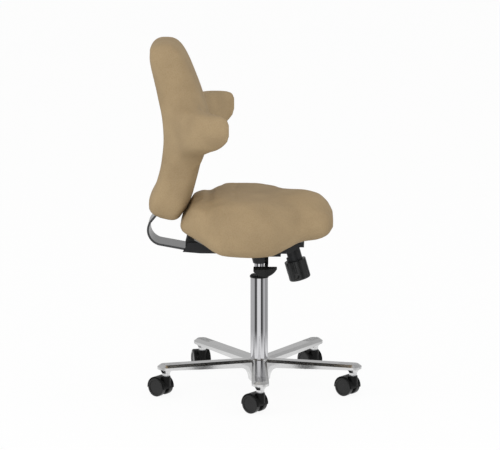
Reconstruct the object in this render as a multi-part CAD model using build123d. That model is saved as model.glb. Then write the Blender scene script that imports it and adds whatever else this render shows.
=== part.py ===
from build123d import *
import math
import os

# Saddle work chair. Millimetres, +X forward, +Y to the sitter's left, +Z up.
# The origin is on the floor under the column.

# Fits
RUN_FIT = 0.05
PRESS_FIT = 0.02
SLIDE_FIT = 0.3
SOFT_GAP = 0.4

# Casters
CASTER_COUNT = 5
WHEEL_RADIUS = 27.0
WHEEL_WIDTH = 16.5
WHEEL_ROUND = 3.0
WHEEL_RIM = 6.0
WHEEL_DISH = 1.6
WHEEL_DISC = 4.0
WHEEL_SIDE_GAP = 0.6
AXLE_RADIUS = 4.0
CASTER_TRAIL = 20.0
CASTER_YAW = (-37.0, -37.0, -50.0, -76.0, -37.0)
HOOD_WEB = 16.0
HOOD_WEB_RADIUS = 20.0
HOOD_WALL = 2.3
HOOD_GAP = 1.2
HOOD_ROUND = 2.0
HOOD_LIP = 1.5
HOOD_SKIRT_DROP = 3.0
STEM_RADIUS = 5.5
STEM_LENGTH = 50.0
STEM_BOSS_RADIUS = 13.0
STEM_DEPTH = 24.0
COLLAR_RADIUS = 9.5
COLLAR_HEIGHT = 3.5

# Star base
BASE_STEM_CIRCLE = 280.0
FIRST_ARM_ANGLE = -88.0
ARM_TIP_WIDTH = 49.0
ARM_ROOT_WIDTH = 41.0
ARM_TIP_DEPTH = 13.2
ARM_ROOT_DEPTH = 23.0
ARM_RISE = 4.0
ARM_BEVEL_SIDE = 9.0
ARM_BEVEL_DROP = 7.0
ARM_WALL = 5.0
ARM_ROOF = 6.0
ARM_EDGE = 1.5
GRIP_RIBS = 14
GRIP_PITCH = 4.2
GRIP_SLOT = 1.7
GRIP_DEPTH = 0.9
SOCKET_TOP_RADIUS = 20.0
SOCKET_FOOT_RADIUS = 11.5
SOCKET_CONE = 12.5
SOCKET_NECK = 6.0
HUB_RADIUS = 31.0
HUB_FOOT_RADIUS = 28.0
HUB_FOOT_Z = 26.5
HUB_RISE = 2.0
WEB_ARC = 42.0
WEB_WIDTH = 30.0

# Gas column
TUBE_RADIUS = 25.0
TUBE_WALL = 2.0
TUBE_TAPER = 1.0
TUBE_LENGTH = 300.0
FOOT_PLATE = 5.0
BUSH_LIP = 7.0
BUSH_LIP_RADIUS = 27.0
BUSH_DEPTH = 60.0
CYLINDER_RADIUS = 14.0
CYLINDER_WALL = 1.5
CYLINDER_SHOWN = 34.0
CYLINDER_TAPER = 0.8
CYLINDER_CROWN = 14.0
TAPER_LENGTH = 42.0
LIFT_TRAVEL = 200.0
ROD_RADIUS = 5.0
ROD_GUIDE = 14.0
PISTON_HEIGHT = 14.0
BEARING_RADIUS = 11.0
BEARING_RACE = 2.5
BEARING_BALL = 2.4
BEARING_BALLS = 9
CLIP_HEIGHT = 1.5
VALVE_RADIUS = 3.0
VALVE_SHOWN = 5.0

# Tilt mechanism
BOSS_HEIGHT = 27.0
BOSS_FOOT_RADIUS = 17.5
BOSS_TOP_RADIUS = 25.0
TRAY_FLOOR = 8.0
TRAY_REAR = -36.0
TRAY_FRONT = 62.0
TRAY_HALF = 44.0
TRAY_WALL = 6.0
PIVOT_X = 42.0
PIVOT_ABOVE_FLOOR = 20.0
PIVOT_RADIUS = 6.0
PIVOT_LUG = 12.0
BUSH_WALL = 2.0
CLIP_RADIUS = 9.5
CLIP_THICK = 1.5
FRAME_ABOVE_PIVOT = 22.0
FRAME_HALF = 56.0
FRAME_SHEET = 4.0
FRAME_FRONT = 128.0
FRAME_REAR = -216.0
FRAME_SKIRT = 31.0
PLATE_REAR = -165.0
FRAME_BEVEL = 16.0
FRONT_LIP = 12.0
COVER_HEIGHT = 11.0
COVER_WALL = 3.0
COVER_ROUND = 7.0

# Tension knob, its axis leaning forward at the foot
KNOB_LEAN = 16.0
KNOB_FOOT_X = 117.5
KNOB_BELOW_PIVOT = 93.0
KNOB_RADIUS = 31.0
KNOB_HEIGHT = 57.0
KNOB_FLOOR = 9.0
KNOB_ROUND = 5.0
KNOB_FLUTES = 5
FLUTE_TURN = -99.0
FLUTE_RADIUS = 4.0
FLUTE_BITE = 2.5
SCOOP_RADIUS = 16.0
SCOOP_BITE = 3.0
SCOOP_RISE = 16.0
CUP_RADIUS = 22.5
CUP_WALL = 3.0
CUP_FOOT = 12.0
CUP_FLOOR = 5.0
CUP_SLOT_WIDTH = 30.0
CUP_SLOT_FOOT = 68.0
PAD_HEIGHT_ON_AXIS = 84.0
PAD_RADIUS = 11.0
PAD_THICK = 9.0
PAD_ARM_WIDTH = 20.0
PAD_ARM_THICK = 10.0
SPINDLE_RADIUS = 6.0
NUT_RADIUS = 18.5
NUT_HEIGHT = 10.0
NUT_LIFT = 5.0
NUT_TRAVEL = 10.0
SPRING_WIRE = 2.0
SPRING_RADIUS = 13.0
SPRING_TURNS = 6

# Height lever, on the sitter's right
LEVER_X = 22.0
LEVER_PIVOT_Y = -30.0
LEVER_PIN_RADIUS = 3.0
LEVER_HUB_RADIUS = 6.5
LEVER_WIDTH = 10.0
LEVER_THICK = 5.0
LEVER_DROP = 29.0
PADDLE_X = 19.5
PADDLE_Y = -150.0
PADDLE_LENGTH = 66.0
PADDLE_DEPTH = 44.0
PADDLE_THICK = 13.0
PADDLE_ROUND = 10.0
PADDLE_TIP = 9.0

# Seat slide
RAIL_Y = 40.0
RAIL_REAR = -150.0
RAIL_FRONT = 124.0
RAIL_FLANGE = 7.0
RAIL_WEB = 1.5
RAIL_SHEET = 3.0
RAIL_HEIGHT = 11.0
RUNNER_LENGTH = 140.0
RUNNER_WALL = 3.0
RUNNER_TOP = 20.0
SEAT_TRAVEL = 120.0
SEAT_STEPS = 6
LATCH_X = -58.0
LATCH_PIN_Y = 44.0
LATCH_PIN_RADIUS = 2.5
LATCH_BELOW_PLATE = 10.0
LATCH_WIDTH = 20.0
LATCH_THICK = 5.0
LATCH_EAR = 3.0
LATCH_EAR_DROP = 16.0
LATCH_OUT_Y = 150.0
LATCH_GRIP = 30.0
TOOTH_LENGTH = 6.0
TOOTH_WIDTH = 12.0
TOOTH_CLEAR = 0.5
TOOTH_PLAY = 0.6
TOOTH_SWAY = 3.2
RACK_HALF = 13.0
RACK_THICK = 5.0
RACK_END = 9.0

# Seat
SHELL_THICK = 8.0
FOAM = 112.0
SEAT_REAR = -217.0
LOBE_X = -185.0
FLAP_REAR_X = -140.0
FLAP_MID_X = -20.0
FLAP_FRONT_X = 85.0
NOSE_X = 145.0
SEAT_FRONT = 209.0
LOBE_HALF = 132.0
FLAP_HALF = 236.0
NOSE_HALF = 108.0
FLAP_DROP = 39.0
PAN_HALF = 70.0
SHELL_FLAP_HALF = 190.0
SHELL_FLAP_DROP = 26.0
SHELL_LOBE_HALF = 92.0
SHELL_NOSE_HALF = 66.0
SHELL_REAR = -182.0
SHELL_FRONT = 162.0
SCREW_RADIUS = 3.0
SCREW_HEAD = 5.5
SCREW_HEAD_HEIGHT = 3.0

# Back bar and backrest
BAR_WIDTH = 96.0
BAR_THICK = 6.0
BAR_FRONT = -108.0
BAR_BELOW_FRAME = 21.0
BAR_RISE = 26.0
BAR_BEND_X = -351.0
BAR_BEND_RADIUS = 42.0
BAR_JOG_RADIUS = 60.0
BAR_LAND = 100.0
BACK_LEAN = 13.4
BAR_ENTRY_X = -282.0
BAR_ENTRY_RISE = 88.0
BAR_RUN = 172.0
BAR_BOLT_RADIUS = 4.0
BAR_BOLT_HEAD = 6.5
BAR_BOLT_HEAD_HEIGHT = 4.5
SPACER_LENGTH = 42.0
SPACER_HALF = 40.0
BACK_TRAVEL = 70.0
CARRIER_WIDTH = 108.0
CARRIER_THICK = 18.0
CARRIER_LENGTH = 120.0
CARRIER_START = 14.0
BACK_SHELL_THICK = 7.0
BACK_SHELL_WIDTH = 150.0
BACK_SHELL_LOW = 210.0
BACK_SHELL_HIGH = 150.0
BACK_SHELL_BEND = 25.0
BACK_BOTTOM_RISE = 73.0
BACK_CORNER = 26.0
BACK_CROWN = 7.0
WING_RISE = 272.0
WING_HEIGHT = 106.0
WING_TIP_HEIGHT = 92.0
WING_TIP_Y = 244.0


# Levels and places that follow from the sizes above
HOOD_RADIUS = WHEEL_RADIUS + HOOD_GAP + HOOD_WALL
STEM_BOSS_Z = WHEEL_RADIUS + HOOD_RADIUS + 1.0
SOCKET_Z = STEM_BOSS_Z + SLIDE_FIT + COLLAR_HEIGHT
TIP_FOOT_Z = SOCKET_Z + SOCKET_NECK + SOCKET_CONE
TIP_TOP_Z = TIP_FOOT_Z + ARM_TIP_DEPTH
ROOT_TOP_Z = TIP_TOP_Z - ARM_RISE
ROOT_FOOT_Z = ROOT_TOP_Z - ARM_ROOT_DEPTH
HUB_TOP_Z = ROOT_TOP_Z + HUB_RISE
TUBE_FOOT_Z = HUB_FOOT_Z + 2.0
TUBE_TOP_Z = TUBE_FOOT_Z + TUBE_LENGTH
TUBE_BORE = TUBE_RADIUS - TUBE_WALL
BUSH_TOP_Z = TUBE_TOP_Z + BUSH_LIP
BOSS_Z = BUSH_TOP_Z + CYLINDER_SHOWN
FLOOR_Z = BOSS_Z + BOSS_HEIGHT
PIVOT_Z = FLOOR_Z + PIVOT_ABOVE_FLOOR
FRAME_Z = PIVOT_Z + FRAME_ABOVE_PIVOT
PLATE_Z = FRAME_Z - FRAME_SHEET
FRAME_IN = FRAME_HALF - FRAME_SHEET
CYLINDER_TOP_Z = BOSS_Z + TAPER_LENGTH
CYLINDER_BORE = CYLINDER_RADIUS - CYLINDER_WALL
FOOT_PLATE_Z = TUBE_FOOT_Z + FOOT_PLATE
BEARING_TOP_Z = FOOT_PLATE_Z + 2 * BEARING_RACE + 2 * BEARING_BALL
CYLINDER_FOOT_Z = BEARING_TOP_Z + 14.0
PISTON_Z = CYLINDER_FOOT_Z + ROD_GUIDE + LIFT_TRAVEL + 12.0
VALVE_TOP_Z = CYLINDER_TOP_Z + VALVE_SHOWN
KNOB_AXIS = Plane(
    origin=(KNOB_FOOT_X, 0, PIVOT_Z - KNOB_BELOW_PIVOT),
    x_dir=(math.cos(math.radians(KNOB_LEAN)), 0, math.sin(math.radians(KNOB_LEAN))),
    z_dir=(-math.sin(math.radians(KNOB_LEAN)), 0, math.cos(math.radians(KNOB_LEAN))),
)
RUNNER_Z = FRAME_Z + RUNNER_TOP
SHELL_Z = RUNNER_Z + SHELL_THICK
SEAT_Z = SHELL_Z + SOFT_GAP + FOAM
SEAT_LIP_Z = SHELL_Z - FLAP_DROP
LATCH_PIN_Z = PLATE_Z - LATCH_BELOW_PLATE
RACK_Z = RUNNER_Z - RACK_THICK
BAR_Z = FRAME_Z - BAR_BELOW_FRAME
BACK_Z = FRAME_Z + BACK_BOTTOM_RISE
LEAN_X = math.sin(math.radians(BACK_LEAN))
LEAN_Z = math.cos(math.radians(BACK_LEAN))
BAR_ENTRY_Z = FRAME_Z + BAR_ENTRY_RISE
BACK_RUN = Plane(origin=(BAR_ENTRY_X, 0, BAR_ENTRY_Z), x_dir=(LEAN_Z, 0, -LEAN_X), z_dir=(LEAN_X, 0, LEAN_Z))


def slab(points, y_from, y_to):
    """A side outline given as (x, z), extruded between two widths."""
    outline = make_face(Plane.XZ * Polyline(*points, close=True))
    return Pos(0, y_from, 0) * extrude(outline, amount=y_to - y_from, dir=(0, 1, 0))


def turned(points):
    """A half outline given as (radius, z), turned about the Z axis."""
    outline = make_face(Plane.XZ * Polyline(*points, close=True))
    return revolve(outline, Axis.Z)


def block(x_from, x_to, y_from, y_to, z_from, z_to):
    """A box given by its limits."""
    size = Box(x_to - x_from, y_to - y_from, z_to - z_from)
    return Pos((x_from + x_to) / 2, (y_from + y_to) / 2, (z_from + z_to) / 2) * size


def rod_z(radius, z_from, z_to, x=0.0, y=0.0):
    """A round bar along Z."""
    return Pos(x, y, (z_from + z_to) / 2) * Cylinder(radius, z_to - z_from)


def rod_y(radius, y_from, y_to, x, z):
    """A round bar along Y."""
    return Pos(x, (y_from + y_to) / 2, z) * Rot(90, 0, 0) * Cylinder(radius, y_to - y_from)


def rod_x(radius, x_from, x_to, y, z):
    """A round bar along X."""
    return Pos((x_from + x_to) / 2, y, z) * Rot(0, 90, 0) * Cylinder(radius, x_to - x_from)


def bowed(start, end, bow):
    """An arc between two points, swelling to the left of the way from start to end."""
    ahead = Vector(end[0] - start[0], end[1] - start[1])
    middle = ((start[0] + end[0]) / 2 - ahead.Y * bow, (start[1] + end[1]) / 2 + ahead.X * bow)
    return ThreePointArc(start, middle, end)


def arm_angles():
    """The direction of each arm in degrees, the first toward the sitter's right."""
    return [FIRST_ARM_ANGLE + index * 360 / CASTER_COUNT for index in range(CASTER_COUNT)]


def caster_places():
    """The place of each caster stem, in the order of the arms."""
    for angle in arm_angles():
        yield BASE_STEM_CIRCLE * math.cos(math.radians(angle)), BASE_STEM_CIRCLE * math.sin(math.radians(angle))


# Star base: five thin rising arms with bevelled tops, hollow below, on a tapered hub
def base_arm():
    """One arm along +X, with its caster socket and its web down to the hub."""
    half_root = ARM_ROOT_WIDTH / 2
    half_tip = ARM_TIP_WIDTH / 2
    tip_x = BASE_STEM_CIRCLE + half_tip
    plan = (
        Line((0, -half_root), (BASE_STEM_CIRCLE, -half_tip))
        + ThreePointArc((BASE_STEM_CIRCLE, -half_tip), (tip_x, 0), (BASE_STEM_CIRCLE, half_tip))
        + Line((BASE_STEM_CIRCLE, half_tip), (0, half_root))
        + Line((0, half_root), (0, -half_root))
    )
    arm = Pos(0, 0, ROOT_FOOT_Z) * extrude(make_face(plan), amount=TIP_TOP_Z - ROOT_FOOT_Z)
    arm = arm & slab(
        [(0, ROOT_FOOT_Z), (tip_x, TIP_FOOT_Z), (tip_x, TIP_TOP_Z), (0, ROOT_TOP_Z)], -half_tip, half_tip
    )
    top = arm.faces().sort_by(Axis.Z)[-1]
    rim = top.edges().sort_by(Axis.X)[1:]
    arm = chamfer(rim, ARM_BEVEL_SIDE, ARM_BEVEL_DROP, reference=top)
    slope = math.degrees(math.atan2(ARM_RISE, tip_x))
    for rib in range(GRIP_RIBS):
        x = tip_x - ARM_BEVEL_SIDE - ARM_EDGE - rib * GRIP_PITCH
        z = ROOT_TOP_Z + ARM_RISE * x / tip_x
        reach = math.sqrt(half_tip**2 - max(x - BASE_STEM_CIRCLE, 0) ** 2)
        width = 2 * (reach - ARM_BEVEL_SIDE - ARM_EDGE)
        arm -= Pos(x, 0, z) * Rot(0, -slope, 0) * Box(GRIP_SLOT, width, 2 * GRIP_DEPTH)
    hollow_end = BASE_STEM_CIRCLE - SOCKET_TOP_RADIUS - ARM_WALL
    web_front = HUB_FOOT_RADIUS + WEB_ARC
    hollow_half = half_root - ARM_WALL
    arm -= block(web_front, hollow_end, -hollow_half, hollow_half, ROOT_FOOT_Z - 1, ROOT_TOP_Z - ARM_ROOF)
    cone_foot = SOCKET_Z + SOCKET_NECK
    arm += Pos(BASE_STEM_CIRCLE, 0, cone_foot + SOCKET_CONE / 2) * Cone(
        SOCKET_FOOT_RADIUS, SOCKET_TOP_RADIUS, SOCKET_CONE
    )
    arm += rod_z(SOCKET_FOOT_RADIUS, SOCKET_Z, TIP_FOOT_Z, BASE_STEM_CIRCLE)
    web_top = ROOT_FOOT_Z + (TIP_FOOT_Z - ROOT_FOOT_Z) * web_front / tip_x
    web_foot = web_top - WEB_ARC
    bend = WEB_ARC * math.sqrt(0.5)
    web = (
        Line((0, web_top + ARM_WALL), (web_front, web_top + ARM_WALL))
        + Line((web_front, web_top + ARM_WALL), (web_front, web_top))
        + ThreePointArc((web_front, web_top), (web_front - bend, web_foot + bend), (HUB_FOOT_RADIUS, web_foot))
        + Line((HUB_FOOT_RADIUS, web_foot), (0, web_foot))
        + Line((0, web_foot), (0, web_top + ARM_WALL))
    )
    web_solid = extrude(make_face(Plane.XZ * web), amount=WEB_WIDTH / 2, both=True)
    web_solid -= block(-1, web_front + 1, -WEB_WIDTH, WEB_WIDTH, web_foot - WEB_ARC, HUB_FOOT_Z)
    return arm + web_solid


def star_base():
    """The cast base with its tapered column bore and five stem bores."""
    arm = base_arm()
    body = turned(
        [
            (0, HUB_FOOT_Z),
            (HUB_FOOT_RADIUS, HUB_FOOT_Z),
            (HUB_RADIUS, ROOT_FOOT_Z),
            (HUB_RADIUS, HUB_TOP_Z - ARM_EDGE),
            (HUB_RADIUS - ARM_EDGE, HUB_TOP_Z),
            (0, HUB_TOP_Z),
        ]
    )
    for angle in arm_angles():
        body += Rot(0, 0, angle) * arm
    body -= turned(
        [
            (0, HUB_FOOT_Z - 1),
            (TUBE_RADIUS - TUBE_TAPER + PRESS_FIT, HUB_FOOT_Z - 1),
            (TUBE_RADIUS - TUBE_TAPER + PRESS_FIT, TUBE_FOOT_Z),
            (TUBE_RADIUS + PRESS_FIT, HUB_TOP_Z),
            (TUBE_RADIUS + PRESS_FIT, HUB_TOP_Z + 1),
            (0, HUB_TOP_Z + 1),
        ]
    )
    for x, y in caster_places():
        body -= rod_z(STEM_RADIUS + PRESS_FIT, SOCKET_Z - 1, STEM_BOSS_Z - STEM_DEPTH + STEM_LENGTH + 1, x, y)
    return body


# Casters: a hood over two wheels on one axle, turning on a stem held in the base
def stem():
    """A grip stem with its collar, on its own axis."""
    foot = STEM_BOSS_Z - STEM_DEPTH
    shaft = rod_z(STEM_RADIUS, foot, foot + STEM_LENGTH)
    collar = rod_z(COLLAR_RADIUS, STEM_BOSS_Z + SLIDE_FIT, SOCKET_Z)
    return shaft + collar


def hood():
    """The caster hood in its own place: stem on Z, wheels trailing toward -X."""
    web_half = HOOD_WEB / 2
    cover_half = web_half + WHEEL_SIDE_GAP + WHEEL_WIDTH - HOOD_LIP
    shape = Pos(-CASTER_TRAIL, 0, WHEEL_RADIUS) * Rot(90, 0, 0) * fillet(
        Cylinder(HOOD_RADIUS, 2 * cover_half).edges().filter_by(GeomType.CIRCLE), HOOD_ROUND
    )
    skirt_z = WHEEL_RADIUS - HOOD_SKIRT_DROP
    far = HOOD_RADIUS + CASTER_TRAIL
    shape -= block(-2 * far, far, -far, far, -far, skirt_z)
    shape += rod_z(STEM_BOSS_RADIUS, WHEEL_RADIUS + HOOD_SKIRT_DROP, STEM_BOSS_Z)
    for side in (-1, 1):
        inner = side * web_half
        outer = side * 2 * cover_half
        space = rod_y(
            WHEEL_RADIUS + HOOD_GAP, min(inner, outer), max(inner, outer), -CASTER_TRAIL, WHEEL_RADIUS
        )
        shape -= space
    shape += rod_y(HOOD_WEB_RADIUS, -web_half, web_half, -CASTER_TRAIL, WHEEL_RADIUS)
    shape -= rod_y(AXLE_RADIUS + PRESS_FIT, -web_half - 1, web_half + 1, -CASTER_TRAIL, WHEEL_RADIUS)
    shape -= rod_z(STEM_RADIUS + RUN_FIT, STEM_BOSS_Z - STEM_DEPTH - SLIDE_FIT, STEM_BOSS_Z + 1)
    return shape


def wheel(side):
    """One wheel: a rounded tread, a dished outer face and a blind axle bore."""
    inner = HOOD_WEB / 2 + WHEEL_SIDE_GAP
    body = Cylinder(WHEEL_RADIUS, WHEEL_WIDTH)
    body = fillet(body.edges().filter_by(GeomType.CIRCLE), WHEEL_ROUND)
    body -= Pos(0, 0, WHEEL_WIDTH / 2) * Cone(
        WHEEL_RADIUS - WHEEL_RIM - WHEEL_DISH, WHEEL_RADIUS - WHEEL_RIM, 2 * WHEEL_DISH
    )
    bore_end = WHEEL_WIDTH / 2 - WHEEL_DISH - WHEEL_DISC
    body -= rod_z(AXLE_RADIUS + RUN_FIT, -WHEEL_WIDTH, bore_end)
    turn = Rot(-90, 0, 0) if side > 0 else Rot(90, 0, 0)
    return Pos(-CASTER_TRAIL, side * (inner + WHEEL_WIDTH / 2), WHEEL_RADIUS) * turn * body


def axle():
    """The pin through the web into both wheels."""
    reach = HOOD_WEB / 2 + WHEEL_SIDE_GAP + WHEEL_WIDTH - WHEEL_DISH - WHEEL_DISC - SLIDE_FIT
    return rod_y(AXLE_RADIUS, -reach, reach, -CASTER_TRAIL, WHEEL_RADIUS)


def caster_nodes():
    """All twenty caster pieces in their places."""
    nodes = {}
    for index, (x, y) in enumerate(caster_places()):
        place = Pos(x, y, 0) * Rot(0, 0, CASTER_YAW[index])
        name = f"caster_{index + 1}"
        nodes[f"{name}_hood"] = place * hood()
        nodes[f"{name}_axle"] = place * axle()
        nodes[f"{name}_wheel_right"] = place * wheel(-1)
        nodes[f"{name}_wheel_left"] = place * wheel(1)
    stems = [Pos(x, y, 0) * stem() for x, y in caster_places()]
    nodes["caster_stems"] = Compound(children=stems)
    return nodes


# Gas column: a tapered tube in the hub, a guide bush, and the cylinder sliding on its rod
def column_nodes():
    """The tube, bush, cylinder, rod and what carries the rod."""
    foot_radius = TUBE_RADIUS - TUBE_TAPER
    tube = turned(
        [
            (ROD_RADIUS + RUN_FIT, TUBE_FOOT_Z),
            (foot_radius, TUBE_FOOT_Z),
            (TUBE_RADIUS, HUB_TOP_Z),
            (TUBE_RADIUS, TUBE_TOP_Z),
            (TUBE_BORE, TUBE_TOP_Z),
            (TUBE_BORE, HUB_TOP_Z),
            (foot_radius - TUBE_WALL, FOOT_PLATE_Z),
            (ROD_RADIUS + RUN_FIT, FOOT_PLATE_Z),
        ]
    )
    bore = CYLINDER_RADIUS + RUN_FIT
    bush = turned(
        [
            (bore, TUBE_TOP_Z - BUSH_DEPTH),
            (TUBE_BORE - PRESS_FIT, TUBE_TOP_Z - BUSH_DEPTH),
            (TUBE_BORE - PRESS_FIT, TUBE_TOP_Z),
            (BUSH_LIP_RADIUS, TUBE_TOP_Z),
            (BUSH_LIP_RADIUS, BUSH_TOP_Z - BUSH_LIP / 2),
            (BUSH_LIP_RADIUS - BUSH_LIP / 2, BUSH_TOP_Z),
            (bore, BUSH_TOP_Z),
        ]
    )
    crown_z = CYLINDER_TOP_Z - CYLINDER_CROWN
    top_radius = CYLINDER_RADIUS - CYLINDER_TAPER
    cylinder = turned(
        [
            (CYLINDER_BORE, CYLINDER_FOOT_Z),
            (CYLINDER_RADIUS, CYLINDER_FOOT_Z),
            (CYLINDER_RADIUS, BOSS_Z),
            (top_radius, CYLINDER_TOP_Z),
            (VALVE_RADIUS + RUN_FIT, CYLINDER_TOP_Z),
            (VALVE_RADIUS + RUN_FIT, crown_z),
            (CYLINDER_BORE, crown_z),
        ]
    )
    guide = turned(
        [
            (ROD_RADIUS + RUN_FIT, CYLINDER_FOOT_Z),
            (CYLINDER_BORE - PRESS_FIT, CYLINDER_FOOT_Z),
            (CYLINDER_BORE - PRESS_FIT, CYLINDER_FOOT_Z + ROD_GUIDE),
            (ROD_RADIUS + RUN_FIT, CYLINDER_FOOT_Z + ROD_GUIDE),
        ]
    )
    clip_z = TUBE_FOOT_Z - SLIDE_FIT - CLIP_HEIGHT
    shoulder = BEARING_RADIUS - BEARING_BALL
    rod = turned(
        [
            (0, clip_z - CLIP_HEIGHT),
            (ROD_RADIUS, clip_z - CLIP_HEIGHT),
            (ROD_RADIUS, BEARING_TOP_Z),
            (shoulder, BEARING_TOP_Z),
            (shoulder, BEARING_TOP_Z + BEARING_RACE),
            (ROD_RADIUS, BEARING_TOP_Z + BEARING_RACE),
            (ROD_RADIUS, PISTON_Z),
            (CYLINDER_BORE - RUN_FIT, PISTON_Z),
            (CYLINDER_BORE - RUN_FIT, PISTON_Z + PISTON_HEIGHT),
            (0, PISTON_Z + PISTON_HEIGHT),
        ]
    )
    clip = rod_z(ROD_RADIUS + 2 * CLIP_HEIGHT, clip_z, clip_z + CLIP_HEIGHT)
    clip -= rod_z(ROD_RADIUS + PRESS_FIT, clip_z - 1, clip_z + CLIP_HEIGHT + 1)
    race = Cylinder(BEARING_RADIUS, BEARING_RACE) - Cylinder(ROD_RADIUS + RUN_FIT, BEARING_RACE + 1)
    track = (BEARING_RADIUS + ROD_RADIUS) / 2
    balls_z = FOOT_PLATE_Z + BEARING_RACE + BEARING_BALL
    pieces = [Pos(0, 0, FOOT_PLATE_Z + BEARING_RACE / 2) * race]
    pieces.append(Pos(0, 0, BEARING_TOP_Z - BEARING_RACE / 2) * race)
    for index in range(BEARING_BALLS):
        angle = 2 * math.pi * index / BEARING_BALLS
        pieces.append(Pos(track * math.cos(angle), track * math.sin(angle), balls_z) * Sphere(BEARING_BALL))
    valve_foot = crown_z - VALVE_SHOWN
    valve = rod_z(VALVE_RADIUS, valve_foot, VALVE_TOP_Z)
    valve += rod_z(2 * VALVE_RADIUS, valve_foot - VALVE_SHOWN / 2, valve_foot)
    return {
        "column_tube": tube,
        "column_bush": bush,
        "gas_cylinder": cylinder,
        "rod_guide": guide,
        "piston_rod": rod,
        "rod_clip": clip,
        "thrust_bearing": Compound(children=pieces),
        "valve_pin": valve,
    }


# Tilt mechanism: a cast tray on the cylinder's taper, and the sheet frame that rocks on it
def pad_point():
    """Where the spring pad's foot sits on the knob axis."""
    return KNOB_AXIS.from_local_coords((0, 0, PAD_HEIGHT_ON_AXIS))


def mechanism_tray():
    """The casting: taper boss, open tray, pivot walls and the arm to the spring pad."""
    boss = turned(
        [
            (0, BOSS_Z),
            (BOSS_FOOT_RADIUS, BOSS_Z),
            (BOSS_TOP_RADIUS - 3, BOSS_Z + BOSS_HEIGHT * 0.6),
            (BOSS_TOP_RADIUS, FLOOR_Z),
            (BOSS_TOP_RADIUS, FLOOR_Z + TRAY_FLOOR),
            (0, FLOOR_Z + TRAY_FLOOR),
        ]
    )
    floor_top = FLOOR_Z + TRAY_FLOOR
    body = boss + block(TRAY_REAR, TRAY_FRONT, -TRAY_HALF, TRAY_HALF, FLOOR_Z, floor_top)
    wall = [
        (TRAY_REAR, FLOOR_Z),
        (TRAY_FRONT, FLOOR_Z),
        (TRAY_FRONT, FLOOR_Z + TRAY_FLOOR + 6),
        (PIVOT_X + PIVOT_LUG, PIVOT_Z + PIVOT_LUG * 0.9),
        (PIVOT_X - PIVOT_LUG, PIVOT_Z + PIVOT_LUG * 0.9),
        (TRAY_REAR, FLOOR_Z + TRAY_FLOOR),
    ]
    for side in (-1, 1):
        inner = side * (TRAY_HALF - TRAY_WALL)
        outer = side * TRAY_HALF
        body += slab(wall, min(inner, outer), max(inner, outer))
    pad = pad_point()
    arm_z = floor_top - 2
    arm = [
        (TRAY_FRONT - 4, arm_z),
        (pad.X, pad.Z),
        (pad.X - PAD_ARM_THICK * math.sin(math.radians(KNOB_LEAN)), pad.Z + PAD_ARM_THICK),
        (TRAY_FRONT - 4, arm_z + PAD_ARM_THICK),
    ]
    half = PAD_ARM_WIDTH / 2
    body += slab(arm, -half, half)
    body += block(TRAY_FRONT - 8, TRAY_FRONT, -half, half, FLOOR_Z, arm_z + PAD_ARM_THICK)
    body += KNOB_AXIS.location * rod_z(PAD_RADIUS, PAD_HEIGHT_ON_AXIS, PAD_HEIGHT_ON_AXIS + PAD_THICK)
    body -= turned(
        [
            (0, BOSS_Z - 1),
            (CYLINDER_RADIUS + PRESS_FIT, BOSS_Z - 1),
            (CYLINDER_RADIUS + PRESS_FIT, BOSS_Z),
            (CYLINDER_RADIUS - CYLINDER_TAPER + PRESS_FIT, CYLINDER_TOP_Z),
            (0, CYLINDER_TOP_Z),
        ]
    )
    hole = PIVOT_RADIUS + RUN_FIT + BUSH_WALL + PRESS_FIT
    body -= rod_y(hole, -TRAY_HALF - 1, TRAY_HALF + 1, PIVOT_X, PIVOT_Z)
    window_half = LEVER_WIDTH / 2 + 3
    body -= block(
        LEVER_X - window_half,
        LEVER_X + window_half,
        -TRAY_HALF - 1,
        -TRAY_HALF + TRAY_WALL + 1,
        FLOOR_Z - LEVER_THICK - 1,
        floor_top + LEVER_HUB_RADIUS,
    )
    body -= block(
        LEVER_X - window_half,
        LEVER_X + window_half,
        -TRAY_HALF - 1,
        LEVER_PIVOT_Y + LEVER_HUB_RADIUS + 2,
        FLOOR_Z - 1,
        floor_top + 1,
    )
    for side in (-1, 1):
        edge = LEVER_X + side * (window_half + 2.5)
        ear_top = lever_pin_z() + LEVER_PIN_RADIUS + 3
        body += block(
            edge - 2.5, edge + 2.5, LEVER_PIVOT_Y - 6, LEVER_PIVOT_Y + 6, floor_top - 1, ear_top
        )
    body -= rod_x(
        LEVER_PIN_RADIUS + PRESS_FIT,
        LEVER_X - window_half - 6,
        LEVER_X + window_half + 6,
        LEVER_PIVOT_Y,
        lever_pin_z(),
    )
    return body


def lever_pin_z():
    """The height lever's pin height, just above the tray floor."""
    return FLOOR_Z + TRAY_FLOOR + LEVER_PIN_RADIUS


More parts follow.
